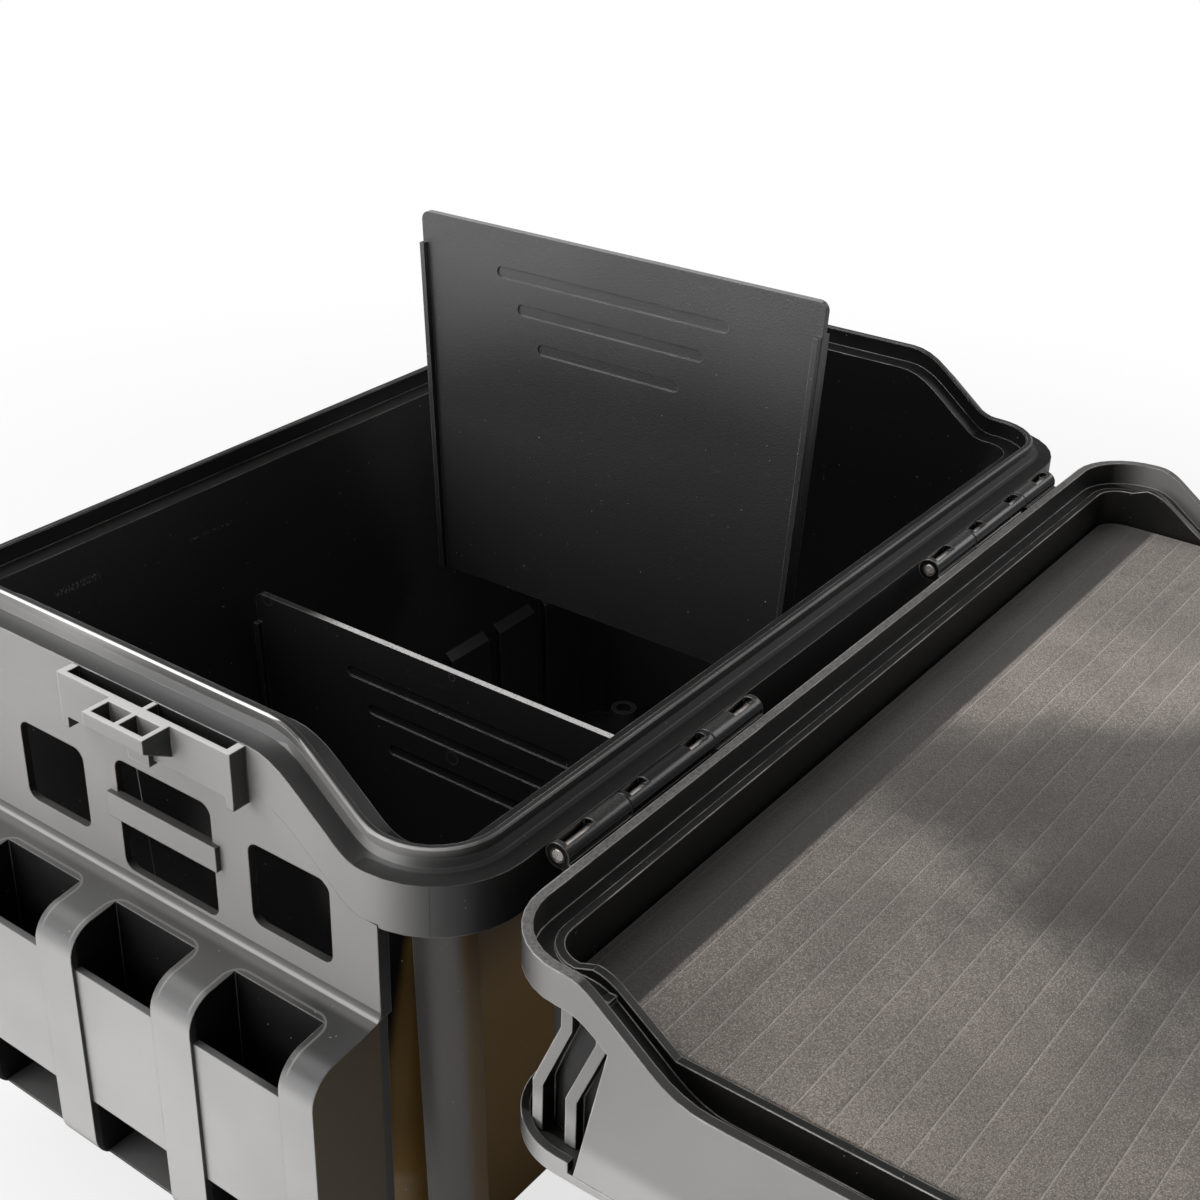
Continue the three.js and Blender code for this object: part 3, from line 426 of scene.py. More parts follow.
rimFaces = {
    "corner": (0.189, 0.115),           # centre of the rounded corner
    "reach": (0.0236, 0.0246),          # the lip's outer face, from that centre
    "leastFar": 0.0001,                 # keeps turn from a division by zero
    "wave": (0.0256, 0.81, 0.1082),     # rise, slope, and where it starts
    # painted reflection of the ends: it fades round the corner by turn to this power, and ledge is
    # its share on the faces that look up
    "turnPower": 5.0,
    "ledge": 0.07,
    "upward": (0.4, 0.95),
    "glow": (0.2245, 0.2292),           # the painted highlight climbs from the foot of the lip to its top
    "flareHighlight": (0.21, 0.206, 0.202),
    "flareHighlightHigh": (0.36, 0.353, 0.346),   # on the high middle of the wave
    "glowBorder": (0.018, 0.060, 1.0, 0.0),
    "glowLeast": 0.25,
    "glowSides": (0.2, 1.0, 0.22, 1.0),  # less on the long sides than on the ends
    "lipFace": [(-0.035, 0.030, 1.0, 0.16), (0.070, 0.104, 0.18, 0.75)],   # the lip's tone and its painted highlight along the end
    "lipFrom": (0.2224, 0.2229),
    # painted highlight on the lip's crest: its heights, its fade along the end, its outer edge and
    # its colour
    "crest": (0.2285, 0.2288),
    "crestFade": (0.070, 0.092, 1.0, 0.25),
    "crestEdge": (0.0242, 0.0245),      # the outer top edge, from the corner's centre
    "crestHighlight": (0.85, 0.84, 0.83),
    "knuckles": (0.0315, 0.0305),       # the hinge knuckles stand further out and stay black
    "partings": (0.809, 0.165),         # the mould's parting lines on the skirt, as values of turn
    "partingLine": (0.0015, 0.0040, 0.75, 0.0),
    "partingBelow": (0.2218, 0.2221, 1.0, 0.0),
    "partingOut": (0.0325, 0.033),
    "partingTurn": (0.05, 0.1),
    "trough": (-0.0116, 0.0640, 0.2312),  # painted shade: behind the bracket the skirt stays dark
    "troughSoft": 0.001,
    "troughFrom": (0.2222, 0.2226),
}


def rimPlace(tree, place, look):
    # Round the rim everything goes by its place: a is the way from the corner's centre, and
    # turn = ax / |a| is 1 at the ends, 0 on the long sides and a cosine round the corners
    ax, ay = (beyond(tree, place[i], look["corner"][i]) for i in (0, 1))
    far = distance(tree, ax, ay)
    return far, calc(tree, "DIVIDE", ax, calc(tree, "MAXIMUM", far, look["leastFar"]))


def rimHeight(tree, place, look):
    # height above the same point of a straight rim: z less the wave, which climbs at its slope
    # and stops at its rise
    rise, slope, foot = look["wave"]
    wave = product(tree, less(tree, foot, absolute(tree, place[1])), slope)
    return less(tree, place[2], calc(tree, "MINIMUM", calc(tree, "MAXIMUM", wave, 0.0), rise))


def troughShade(tree, place, look):
    # painted shade on the skirt behind the bracket
    low, high, top = look["trough"]
    soft = look["troughSoft"]
    return product(tree, remap(tree, place[1], low - soft, low),
                   remap(tree, place[1], high + soft, high),
                   remap(tree, place[2], top - soft, top + soft),
                   remap(tree, place[0], *look["troughFrom"]))


def partingLines(tree, place, far, turn, look):
    line = remap(tree, nearest(tree, turn, look["partings"]), *look["partingLine"])
    return product(tree, line, remap(tree, place[2], *look["partingBelow"]),
                   remap(tree, far, *look["partingOut"]), remap(tree, turn, *look["partingTurn"]))


def paintRim(tree, place, facing, colour, tone, look):
    # the ends' painted reflection on the skirt, a painted highlight up the lip's curved foot, and a
    # painted highlight on the crest
    far, turn = rimPlace(tree, place, look)
    height = rimHeight(tree, place, look)
    middle = absolute(tree, place[1])
    out = remap(tree, far, *look["reach"])
    sideways = absolute(tree, facing[0])
    front = product(tree, calc(tree, "POWER", turn, look["turnPower"]),
                    sideways, sideways, sideways)
    up = product(tree, turn, turn, look["ledge"], remap(tree, facing[2], *look["upward"]))
    share = product(tree, out, calc(tree, "MAXIMUM", front, up),
                    leftOver(tree, troughShade(tree, place, look)))
    fades = [remap(tree, alongEnd(tree, place), *change) for change in look["lipFace"]]
    fade = calc(tree, "MAXIMUM", *fades)
    onLip = product(tree, remap(tree, height, *look["lipFrom"]), leftOver(tree, fade))
    share = product(tree, share, leftOver(tree, onLip),
                    leftOver(tree, partingLines(tree, place, far, turn, look)))
    along = product(tree, remap(tree, turn, *look["glowSides"]),
                    remap(tree, far, *look["knuckles"]))
    glow = product(tree, out, along, calc(tree, "MAXIMUM", fade, look["glowLeast"]),
                   remap(tree, height, *look["glow"]))
    flareHighlightTone = blendColour(tree, remap(tree, middle, *look["glowBorder"]), look["flareHighlight"],
                           look["flareHighlightHigh"])
    crest = product(tree, along, remap(tree, middle, *look["crestFade"]),
                    remap(tree, height, *look["crest"]), remap(tree, far, *look["crestEdge"]))
    colour = blendColour(tree, share, colour, tone)
    colour = blendColour(tree, glow, colour, flareHighlightTone)
    return blendColour(tree, crest, colour, look["crestHighlight"])


longWalls = {
    "warm": (0.138, 0.080, 0.020),      # outside, below the rim, they are brown
    "outward": (0.02, 0.05),            # y times the normal's y
    "from": (0.078, 0.084),
    "below": (0.199, 0.2025, 1.0, 0.0),
    # painted shade: the brown darkens towards the rim above it; corner is painted light that lifts
    # it near the corners
    "shade": (0.11, 0.19, 1.18, 0.42),
    "corner": (0.176, 0.186, 0.0, 0.25),
    "cornerAbove": (0.08, 0.11),
    "front": (-0.02, 0.02, 0.36, 1.0),  # the front stands in full light, so it is darker
    "postShare": 0.62,
    "postTurn": (0.80, 0.97),
}


def paintWalls(tree, place, facing, colour, look):
    # brown on the outsides below the rim, with painted shade under the rim and painted light near
    # the corners; the front is darker as it stands in full light
    brown = product(tree, remap(tree, product(tree, place[1], facing[1]), *look["outward"]),
                    remap(tree, absolute(tree, place[1]), *look["from"]),
                    remap(tree, place[2], *look["below"]))
    corner = product(tree, remap(tree, absolute(tree, place[0]), *look["corner"]),
                     remap(tree, place[2], *look["cornerAbove"]))
    warm = multiplied(tree, look["warm"], remap(tree, place[2], *look["shade"]))
    warm = multiplied(tree, warm, calc(tree, "ADD", corner, 1.0))
    warm = multiplied(tree, warm, remap(tree, place[1], *look["front"]))
    return blendColour(tree, brown, colour, warm)


def paintPost(tree, facing, colour, look):
    # the post's long side is as brown as the wall beside it
    sideways = remap(tree, absolute(tree, facing[1]), *look["postTurn"])
    warm = tuple(look["postShare"] * c for c in look["warm"])
    return blendColour(tree, sideways, colour, warm)


insideFaces = {
    "depth": (0.0, 0.19, 3.2, 1.0),         # deep down the walls are a little paler
    "farEnd": (-0.20, -0.17, 0.5, 1.0),
    "hollow": (0.2175, 0.2185, 1.0, 0.0),   # painted shade: behind the end panels it is black
    "hollowFacing": (0.02, 0.1),
    "hollowBelow": (0.199, 0.2, 1.0, 0.0),
    "hollowAbove": (0.055, 0.066),
    "hollowShade": (0.001, 0.001, 0.001),
    "hollowLit": (0.045, 0.044, 0.043),    # and painted light: paler to one side of each window
    "windowPitch": 0.0577,
    "windowPhase": 0.028,
    "linesAt": (-0.017, -0.088, -0.0485),
    "line": (0.0001, 0.0004, 0.25, 0.0),
    "lineColour": (0.5, 0.49, 0.48),
    "ledgeFacing": (0.5, 0.95),
    "ledgeBelow": (0.2225, 0.2229, 1.0, 0.0),
    "ledgeAbove": (0.2, 0.202),
    "ledgeDull": 0.7,
    "shine": (0.0, 1.0, 0.5, 0.06),
    "scuffs": [((0.126, 0.148), (0.2052, 0.2078)), ((0.052, 0.077), (0.2030, 0.2042))],
    "scuffSide": (-0.121, -0.120, 1.0, 0.0),
    "scuffSoft": (0.002, 0.0003),
    "scuffFleck": (0.52, 0.60, 0.0, 0.5),
}
pitchesAhead = 20.0


def paintInside(tree, place, facing, colour, shader, look):
    depth = product(tree, remap(tree, place[2], *look["depth"]),
                    remap(tree, place[0], *look["farEnd"]))
    colour = multiplied(tree, colour, depth)
    # painted shade on the end walls behind the panels, with painted light to one side of each
    # window
    turned = alongEnd(tree, place)
    along = fraction(tree, turned, look["windowPhase"], look["windowPitch"], pitchesAhead)
    tone = blendColour(tree, product(tree, along, along, along, along), look["hollowShade"],
                       look["hollowLit"])
    line = remap(tree, nearest(tree, turned, look["linesAt"]), *look["line"])
    tone = blendColour(tree, line, tone, look["lineColour"])
    hollow = product(tree, remap(tree, product(tree, place[0], facing[0]), *look["hollowFacing"]),
                     remap(tree, absolute(tree, place[0]), *look["hollow"]),
                     remap(tree, place[2], *look["hollowBelow"]),
                     remap(tree, place[2], *look["hollowAbove"]))
    ledge = product(tree, remap(tree, facing[2], *look["ledgeFacing"]),
                    remap(tree, place[2], *look["ledgeBelow"]),
                    remap(tree, place[2], *look["ledgeAbove"]), look["ledgeDull"])
    dull = calc(tree, "MAXIMUM", hollow, ledge)
    link(tree, remap(tree, dull, *look["shine"]), shader.inputs["Specular IOR Level"])
    return blendColour(tree, hollow, colour, tone)


def paintScuffs(tree, place, fleck, colour, dust, look):
    # two rubbed streaks high on the front wall's inside
    side = remap(tree, place[1], *look["scuffSide"])
    softAlong, softUp = look["scuffSoft"]
    for (x0, x1), (z0, z1) in look["scuffs"]:
        streak = product(tree, side, within(tree, place[0], x0, x1, softAlong),
                         within(tree, place[2], z0, z1, softUp),
                         remap(tree, fleck, *look["scuffFleck"]))
        colour = blendColour(tree, streak, colour, dust)
    return colour


rackTop = {
    "crease": (0.2264, 0.2292, 0.45, 0.0),  # painted highlight beside the fillet at the foot of the panel
    "middle": -0.003,
    "pitch": 0.05853,
    "half": 0.01996,                        # half a pocket's width
    "back": 0.2334,                         # its back edge
    "corner": 0.004,
    "gap": 0.0022,                          # the painted highlight of a raised line runs this far outside the opening
    "line": (0.0002, 0.0006, 0.55, 0.0),
    "below": (0.1790, 0.1800, 1.0, 0.0),
    "from": (0.2229, 0.2231),
    "upward": (0.4, 0.9),
}


def rackLines(tree, place, facing, look):
    # painted highlights: a raised line round each pocket, and the crease beside the fillet
    # along = the way from the nearest pocket's middle; d is the distance outside a rounded
    # opening: the length of both overshoots less the corner's radius and the gap
    across = absolute(tree, place[0])
    along = fraction(tree, alongEnd(tree, place), look["middle"], look["pitch"], pitchesAhead)
    along = product(tree, absolute(tree, less(tree, along, 0.5)), look["pitch"])
    overY = calc(tree, "MAXIMUM", less(tree, along, look["half"] - look["corner"]), 0.0)
    overX = calc(tree, "MAXIMUM", less(tree, look["back"] + look["corner"], across), 0.0)
    d = nearest(tree, distance(tree, overX, overY), [look["corner"] + look["gap"]])
    crease = remap(tree, across, *look["crease"])
    return product(tree, remap(tree, facing[2], *look["upward"]),
                   remap(tree, place[2], *look["below"]), remap(tree, across, *look["from"]),
                   calc(tree, "MAXIMUM", remap(tree, d, *look["line"]), crease))


lidRim = {
    "from": (0.2208, 0.2213),
    "upward": (0.5, 0.9),
    "share": 0.62,
    "fleck": (0.3, 0.65, 0.4, 1.0),
}


def lidRimShare(tree, place, facing, fleck, look):
    # the flat edge of the lid's band is paler, in flecks, where it faces up
    return product(tree, remap(tree, place[2], *look["from"]),
                   remap(tree, facing[2], *look["upward"]), look["share"],
                   remap(tree, fleck, *look["fleck"]))


dividerMarks = {
    # heights of a top edge, where along it the painted highlight begins, and its share
    "tops": [((0.1778, 0.1790), (-0.075, -0.045), 0.9), ((0.3234, 0.3246), (-0.20, -0.19), 0.35)],
    "topFacing": (0.85, 0.95),
    "topSoft": 0.0003,
    "topFleck": (0.3, 0.5, 0.5, 1.0),
    "highlightAndRingColour": (0.72, 0.71, 0.70),
    # y, z and radius
    "rings": [(0.010, 0.176, 0.0016), (0.0094, 0.137, 0.0030), (-0.096, 0.177, 0.0030)],
    "ring": (0.0001, 0.0004, 0.05, 0.0),
    "ringFrom": (0.0, 0.001),
}


def paintDivider(tree, place, facing, fleck, colour, look):
    # the top edges carry a painted highlight, and the seated face has three ring marks
    up = remap(tree, facing[2], *look["topFacing"])
    for (low, high), (fromY, toY), share in look["tops"]:
        edge = product(tree, up, within(tree, place[2], low, high, look["topSoft"]),
                       remap(tree, place[1], fromY, toY, 0.0, share),
                       remap(tree, fleck, *look["topFleck"]))
        colour = blendColour(tree, edge, colour, look["highlightAndRingColour"])
    for y, z, radius in look["rings"]:
        far = distance(tree, less(tree, place[1], y), less(tree, place[2], z))
        ring = product(tree, remap(tree, nearest(tree, far, [radius]), *look["ring"]),
                       remap(tree, place[0], *look["ringFrom"]))
        colour = blendColour(tree, ring, colour, look["highlightAndRingColour"])
    return colour


hingeKnuckles = {
    "from": (0.1500, 0.1504),
    "to": (0.1602, 0.1606, 1.0, 0.0),
    "above": (0.2165, 0.2170),
    "share": 0.75,
    "black": (0.003, 0.003, 0.003),
    "rough": (0.0, 1.0, 0.42, 0.17),
}


def paintKnuckles(tree, place, colour, shader, look):
    # the hinge knuckles are black and glossy
    shiny = product(tree, remap(tree, place[1], *look["from"]), remap(tree, place[1], *look["to"]),
                    remap(tree, place[2], *look["above"]))
    link(tree, remap(tree, shiny, *look["rough"]), shader.inputs["Roughness"])
    return blendColour(tree, product(tree, shiny, look["share"]), colour, look["black"])


mouldedPlastic = {
    "dark": (0.0120, 0.0117, 0.0115),
    "lighter": 1.25,
    # edge: a painted highlight on the rounded edges, and the tone of the rubbed wear marks
    "edge": (0.20, 0.195, 0.19),
    "dust": (0.30, 0.295, 0.29),
    "grain": 2400.0,
    "grainDepth": 0.00004,
    "swell": 0.0002,
    "round": 0.0007,
}
wearAndSheen = {
    # scale, detail and roughness of each noise
    "broad": (9.0, 3.0, 0.5),
    "cloudy": (60.0, 5.0, 0.65),
    "fleck": (900.0, 3.0, 0.7),
    "specks": (620.0, 2.0, 0.5),
    "rubs": (1.0, 6.0, 0.7),
    "rubStretch": ((260, 26, 190), (0.3, 0.5, 0.2)),
    "grain": (2.0, 0.6),
    # where each begins and ends, and what it gives there
    "broadTone": (0.3, 0.7),
    # the painted highlight on edges comes in patches
    "patchy": (0.35, 0.65, 0.25, 1.0),
    "rubbed": (0.64, 0.78),
    "rubShare": 0.16,
    "dusty": (0.745, 0.775, 0.0, 0.7),
    "grainBump": 0.5,
    "swellBump": 0.2,
}


def plastic(name, look, ends=None, rim=None, walls=None, post=None, lid=None, inside=None,
            rack=None, marks=None, lightByHeight=()):
    material, tree, shader, coords = startMaterial(name)
    place, facing = (parts(tree, coords.outputs[kind]) for kind in ("Object", "Normal"))
    whole = stretched(tree, coords)
    broad, cloudy, fleck, specks = (
        noise(tree, whole, *wearAndSheen[kind]) for kind in ("broad", "cloudy", "fleck", "specks"))
    rubs = noise(tree, stretched(tree, coords, *wearAndSheen["rubStretch"]), *wearAndSheen["rubs"])
    grain = noise(tree, whole, look["grain"], *wearAndSheen["grain"])
    rounded = roundedNormal(tree, look["round"]) if look["round"] else None
    edgeTone = look["edge"]
    lighter = tuple(look["lighter"] * c for c in look["dark"])
    colour = blendColour(tree, remap(tree, broad, *wearAndSheen["broadTone"]), look["dark"], lighter)
    if inside:
        colour = paintInside(tree, place, facing, colour, shader, inside)
    for change in lightByHeight:      # painted light and shade by height: from, to, and the tone's factor at each
        colour = multiplied(tree, colour, remap(tree, place[2], *change))
    if post:
        colour = paintPost(tree, facing, colour, post)
    if walls:
        colour = paintWalls(tree, place, facing, colour, walls)
    if ends:
        tone = endTone(tree, place, broad, ends)
        # painted highlight: brighter edges at the bracket's height
        high = remap(tree, place[2], *ends["bracketFrom"], 0.0, ends["bracketEdgeHighlightShare"])
        edgeTone = blendColour(tree, high, edgeTone, ends["bracketEdgeHighlight"])
    if rim:
        colour = paintRim(tree, place, facing, colour, tone, rim)
    elif ends:
        colour = paintEnd(tree, place, facing, colour, tone, shader, ends)
    if rack:
        colour = blendColour(tree, rackLines(tree, place, facing, rack), colour, tone)
    if lid:
        share = lidRimShare(tree, place, facing, fleck, lid)
        colour = blendColour(tree, share, colour, ends["upper"])
    # painted highlight on the rounded edges, in patches
    if rounded:
        share = product(tree, edgeShare(tree, rounded), remap(tree, cloudy, *wearAndSheen["patchy"]))
        colour = blendColour(tree, share, colour, edgeTone)
    if inside:
        colour = paintScuffs(tree, place, fleck, colour, look["dust"], inside)
    if marks:
        colour = paintDivider(tree, place, facing, fleck, colour, marks)
    rubbed = product(tree, remap(tree, rubs, *wearAndSheen["rubbed"]), wearAndSheen["rubShare"])
    colour = blendColour(tree, rubbed, colour, look["edge"])
    colour = blendColour(tree, remap(tree, specks, *wearAndSheen["dusty"]), colour, look["dust"])
    colour = paintKnuckles(tree, place, colour, shader, hingeKnuckles)
    link(tree, colour, shader.inputs["Base Color"])
    normal = bumped(tree, grain, wearAndSheen["grainBump"], look["grainDepth"], rounded)
    if look["swell"]:
        normal = bumped(tree, broad, wearAndSheen["swellBump"], look["swell"], normal)
    link(tree, normal, shader.inputs["Normal"])
    return material


steelLook = {
    "colour": (1.0, 0.92, 0.86),
    "darker": 0.72,
    "rough": (0.3, 0.7, 0.24, 0.46),
    "lines": (1.0, 3.0),
    "lineStretch": (40, 2600, 2600),
    "spots": (420.0, 4.0),
    "spotTone": (0.4, 0.7),
    "bump": (0.3, 0.00003),
    "round": 0.0004,
}


def steel(name, look):
    # drawn rod: fine lines along it and a few darker spots
    material, tree, shader, coords = startMaterial(name)
    lines = noise(tree, stretched(tree, coords, look["lineStretch"]), *look["lines"])
    spots = noise(tree, stretched(tree, coords), *look["spots"])
    darker = tuple(look["darker"] * c for c in look["colour"])
    colour = blendColour(tree, remap(tree, spots, *look["spotTone"]), look["colour"], darker)
    link(tree, colour, shader.inputs["Base Color"])
    shader.inputs["Metallic"].default_value = 1.0
    link(tree, remap(tree, lines, *look["rough"]), shader.inputs["Roughness"])
    rounded = roundedNormal(tree, look["round"])
    link(tree, bumped(tree, lines, *look["bump"], rounded), shader.inputs["Normal"])
    return material


matScore = {"middle": 0.3104, "offset": 0.0015, "pitch": 0.011}    # the mat's scored lines, in y
foamLook = {
    "pale": (0.284, 0.246, 0.213),
    "deep": (0.113, 0.094, 0.080),
    "speck": (0.52, 0.475, 0.43),
    "scoreHighlight": (0.46, 0.43, 0.40),        # painted highlight: the scored lines catch the light
    "scoreFirst": matScore["middle"] - matScore["offset"],
    "scorePitch": matScore["pitch"],
    "scoreAhead": 100.5,                # half a pitch more puts each line in a fraction's middle
    "scoreLine": (0.010, 0.030, 0.85, 0.0),
    "scoreCells": (0.4, 0.55),
    # a band of painted shade across the mat: x of its two borders at y = bandY,
    # how far they lean with y, and how soft they are
    "bandY": 0.210,
    "band": ((-0.004, -0.9, 0.024), (0.072, 0.33, 0.034)),
    "shadeBandDepth": 0.68,
    "stray": 0.09,                      # how far its borders stray
    "wallShadow": (0.1963, 0.1977, 0.84, 0.0),   # painted shadow of the wall at the hinges, darker still
    # painted light and shade along the mat
    "along": [(-0.06, 0.12, 1.22, 0.80), (-0.13, -0.08, 0.78, 1.0)],
    "wander": (24.0, 4.0, 0.6),
    "wanderTone": (0.35, 0.65, 0.88, 1.10),
}
seatLook = {
    "pale": (0.05, 0.047, 0.045),
    "deep": (0.022, 0.021, 0.02),
    "speck": (0.09, 0.086, 0.082),
}
foamGrain = {
    # scale, detail, roughness and distortion of each noise
    "cells": (1150.0, 4.0, 0.85),
    "specks": (2100.0, 1.0, 0.5),
    # painted light: broad streaks of light and shade
    "lightStreaks": (1.3, 3.0, 0.5, 0.4),
    "lightStreakStretch": (3.2, 6.5, 1),
    "lightStreakTurn": (0, 0, -0.55),
    "rub": (1.0, 5.0, 0.6, 0.6),
    "rubStretch": (22, 95, 20),
    "rubTurn": (0, 0, 0.35),
    # where each begins and ends, and what it gives there
    "lightStreakTone": (0.25, 0.75, 0.42, 1.0),
    "cellTone": (0.40, 0.60, 0.0, 0.88),
    "speckTone": (0.50, 0.66, 0.0, 0.55),
    "rubTone": (0.58, 0.72, 0.0, 0.45),
    "rough": 0.92,
    "sheen": 0.25,
    "bump": (0.8, 0.00025),
}


def foam(name, look):
    material, tree, shader, coords = startMaterial(name)
    grain = foamGrain
    whole = stretched(tree, coords)
    cells = noise(tree, whole, *grain["cells"])
    specks = noise(tree, whole, *grain["specks"])
    lightStreaks = noise(tree, stretched(tree, coords, grain["lightStreakStretch"], grain["lightStreakTurn"]),
                  *grain["lightStreaks"])
    rub = noise(tree, stretched(tree, coords, grain["rubStretch"], grain["rubTurn"]),
                *grain["rub"])
    # painted light and shade in broad streaks
    base = blendColour(tree, remap(tree, lightStreaks, *grain["lightStreakTone"]), look["deep"], look["pale"])
    base = blendColour(tree, remap(tree, cells, *grain["cellTone"]), base, look["deep"])
    base = blendColour(tree, remap(tree, specks, *grain["speckTone"]), base, look["speck"])
    base = blendColour(tree, remap(tree, rub, *grain["rubTone"]), base, look["deep"])
    if "scoreHighlight" in look:
        base = paintMat(tree, parts(tree, coords.outputs["Object"]), whole, cells, base, look)
    link(tree, base, shader.inputs["Base Color"])
    shader.inputs["Roughness"].default_value = grain["rough"]
    shader.inputs["Sheen Weight"].default_value = grain["sheen"]
    link(tree, bumped(tree, cells, *grain["bump"]), shader.inputs["Normal"])
    return material


def paintMat(tree, place, whole, cells, base, look):
    # painted highlights on the scored lines, painted light and shade along the mat, a painted shade
    # band and the wall's painted shadow
    along = fraction(tree, place[1], look["scoreFirst"], look["scorePitch"], look["scoreAhead"])
    line = remap(tree, nearest(tree, along, [0.5]), *look["scoreLine"])
    line = product(tree, line, remap(tree, cells, *look["scoreCells"]))
    base = blendColour(tree, line, base, look["scoreHighlight"])
    for change in look["along"]:
        base = multiplied(tree, base, remap(tree, place[0], *change))
    wander = noise(tree, whole, *look["wander"])
    base = blendColour(tree, matShadeShare(tree, place, wander, look), base, (0, 0, 0))
    return multiplied(tree, base, remap(tree, wander, *look["wanderTone"]))


def matShadeShare(tree, place, wander, look):
    # how much painted shade: the band's depth between its two leaning borders, and the wall's
    # painted shadow
    (x0, lean0, soft0), (x1, lean1, soft1) = look["band"]
    up = less(tree, place[1], look["bandY"])
    x = calc(tree, "ADD", place[0], product(tree, less(tree, wander, 0.5), look["stray"]))
    fromLeft = less(tree, x, product(tree, up, lean0))
    fromRight = less(tree, x, product(tree, up, lean1))
    band = product(tree, remap(tree, fromLeft, x0 - soft0, x0 + soft0),
                   remap(tree, fromRight, x1 + soft1, x1 - soft1), look["shadeBandDepth"])
    return calc(tree, "MAXIMUM", band, remap(tree, place[1], *look["wallShadow"]))


rubberLook = {
    "colour": (0.022, 0.021, 0.020),
    "paler": 1.8,
    "fine": (700.0, 4.0),
    "rough": 0.86,
    "bump": (0.5, 0.0001),
}


def rubber(name, look):
    material, tree, shader, coords = startMaterial(name)
    fine = noise(tree, stretched(tree, coords), *look["fine"])
    paler = tuple(look["paler"] * c for c in look["colour"])
    colour = blendColour(tree, fine, look["colour"], paler)
    link(tree, colour, shader.inputs["Base Color"])
    shader.inputs["Roughness"].default_value = look["rough"]
    link(tree, bumped(tree, fine, *look["bump"]), shader.inputs["Normal"])
    return material


latchLook = {**mouldedPlastic, "dark": (0.018, 0.0176, 0.0172)}
# the corner posts' grey is a painted highlight on the black plastic
postHighlightLook = {**mouldedPlastic, "dark": (0.092, 0.087, 0.083)}
# a darker copy of the moulded plastic, painted shade for the lid, with a brighter painted highlight
# on its edges
lidLook = {
    **mouldedPlastic,
    "dark": (0.0045, 0.0040, 0.0035),
    "edge": (0.62, 0.60, 0.58),
    "round": 0.0008,
}
dividerLook = {
    **mouldedPlastic,
    "dark": (0.016, 0.016, 0.0165),
    "round": 0.0005,
    "swell": 0,
    "grain": 1300.0,
    "grainDepth": 0.00024,
}
seamLook = {**mouldedPlastic, "round": 0}
# the fillet is black plastic with a painted highlight: a pale tone, brightest in a band low on it,
# with painted shade above
filletLook = {**seamLook, "dark": (0.12, 0.117, 0.115)}
# painted light: the dividers are darker low in the box and paler towards their tops above the rim
dividerLightByHeight = [(0.15, 0.25, 0.70, 1.0), (0.255, 0.318, 1.0, 4.1)]
filletHighlightByHeight = [(0.1667, 0.1671, 0.60, 2.3), (0.1673, 0.1682, 1.0, 0.30)]

bodyPlastic = plastic("bodyPlastic", mouldedPlastic, endFaces, rimFaces, longWalls,
                      inside=insideFaces)
latchPlastic = plastic("latchPlastic", latchLook)
postPlastic = plastic("postPlastic", postHighlightLook, post=longWalls)
panelPlastic = plastic("panelPlastic", mouldedPlastic, endFaces, rack=rackTop)
lidPlastic = plastic("lidPlastic", lidLook, endFaces, lid=lidRim)
dividerPlastic = plastic("dividerPlastic", dividerLook, marks=dividerMarks, lightByHeight=dividerLightByHeight)
seamPlastic = plastic("seamPlastic", seamLook, endFaces)
filletPlastic = plastic("filletPlastic", filletLook, lightByHeight=filletHighlightByHeight)
pinSteel = steel("pinSteel", steelLook)
footRubber = rubber("footRubber", rubberLook)
matFoam = foam("matFoam", foamLook)
seatFoam = foam("seatFoam", seatLook)


def named(*starts):
    return [name for name in nodes if name.startswith(starts)]


def dress(names, material):
    for name in names:
        obj = nodes[name]
        if not obj.material_slots:
            obj.data.materials.append(material)
        for slot in obj.material_slots:
            slot.link = "OBJECT"
            slot.material = material


softNodes = ["lid_mat", "seat_cushion"]
dress(["body_shell"], bodyPlastic)
dress(named("corner_post"), postPlastic)
dress(named("foot"), footRubber)
dress(named("end_panel", "pocket_rack", "accessory"), panelPlastic)
dress(named("divider"), dividerPlastic)
dress(["lid_shell", "lid_cover"], lidPlastic)
dress(["lid_mat"], matFoam)
dress(named("latch_left", "latch_right", "latch_mount"), latchPlastic)
dress(named("hinge_pin", "latch_pin"), pinSteel)
print("materials set on", len(nodes), "nodes")

smoothing = {"turnsUnder": 24, "mergeWithin": 0.000005}    # degrees, metres


def smoothByAngle(look):
    # joins the loose triangles and smooths every edge that turns less than the limit
    group = bpy.data.node_groups.new("smoothArcs", "GeometryNodeTree")
    for direction in ("INPUT", "OUTPUT"):
        group.interface.new_socket("Geometry", in_out=direction, socket_type="NodeSocketGeometry")
    start = group.nodes.new("NodeGroupInput")
    end = group.nodes.new("NodeGroupOutput")
    merge = group.nodes.new("GeometryNodeMergeByDistance")
    merge.inputs["Distance"].default_value = look["mergeWithin"]
    bare = group.nodes.new("GeometryNodeRemoveAttribute")
    bare.inputs["Name"].default_value = "custom_normal"
    angle = group.nodes.new("GeometryNodeInputMeshEdgeAngle")
    small = group.nodes.new("FunctionNodeCompare")
    small.data_type = "FLOAT"
    small.operation = "LESS_THAN"
    small.inputs[1].default_value = math.radians(look["turnsUnder"])
    edges = group.nodes.new("GeometryNodeSetShadeSmooth")
    edges.domain = "EDGE"
    faces = group.nodes.new("GeometryNodeSetShadeSmooth")
    link(group, angle.outputs["Unsigned Angle"], small.inputs[0])
    link(group, start.outputs[0], merge.inputs["Geometry"])
    link(group, merge.outputs[0], bare.inputs["Geometry"])
    link(group, bare.outputs[0], edges.inputs["Geometry"])
    link(group, small.outputs[0], edges.inputs["Shade Smooth"])
    link(group, edges.outputs[0], faces.inputs["Geometry"])
    link(group, faces.outputs[0], end.inputs[0])
    return group


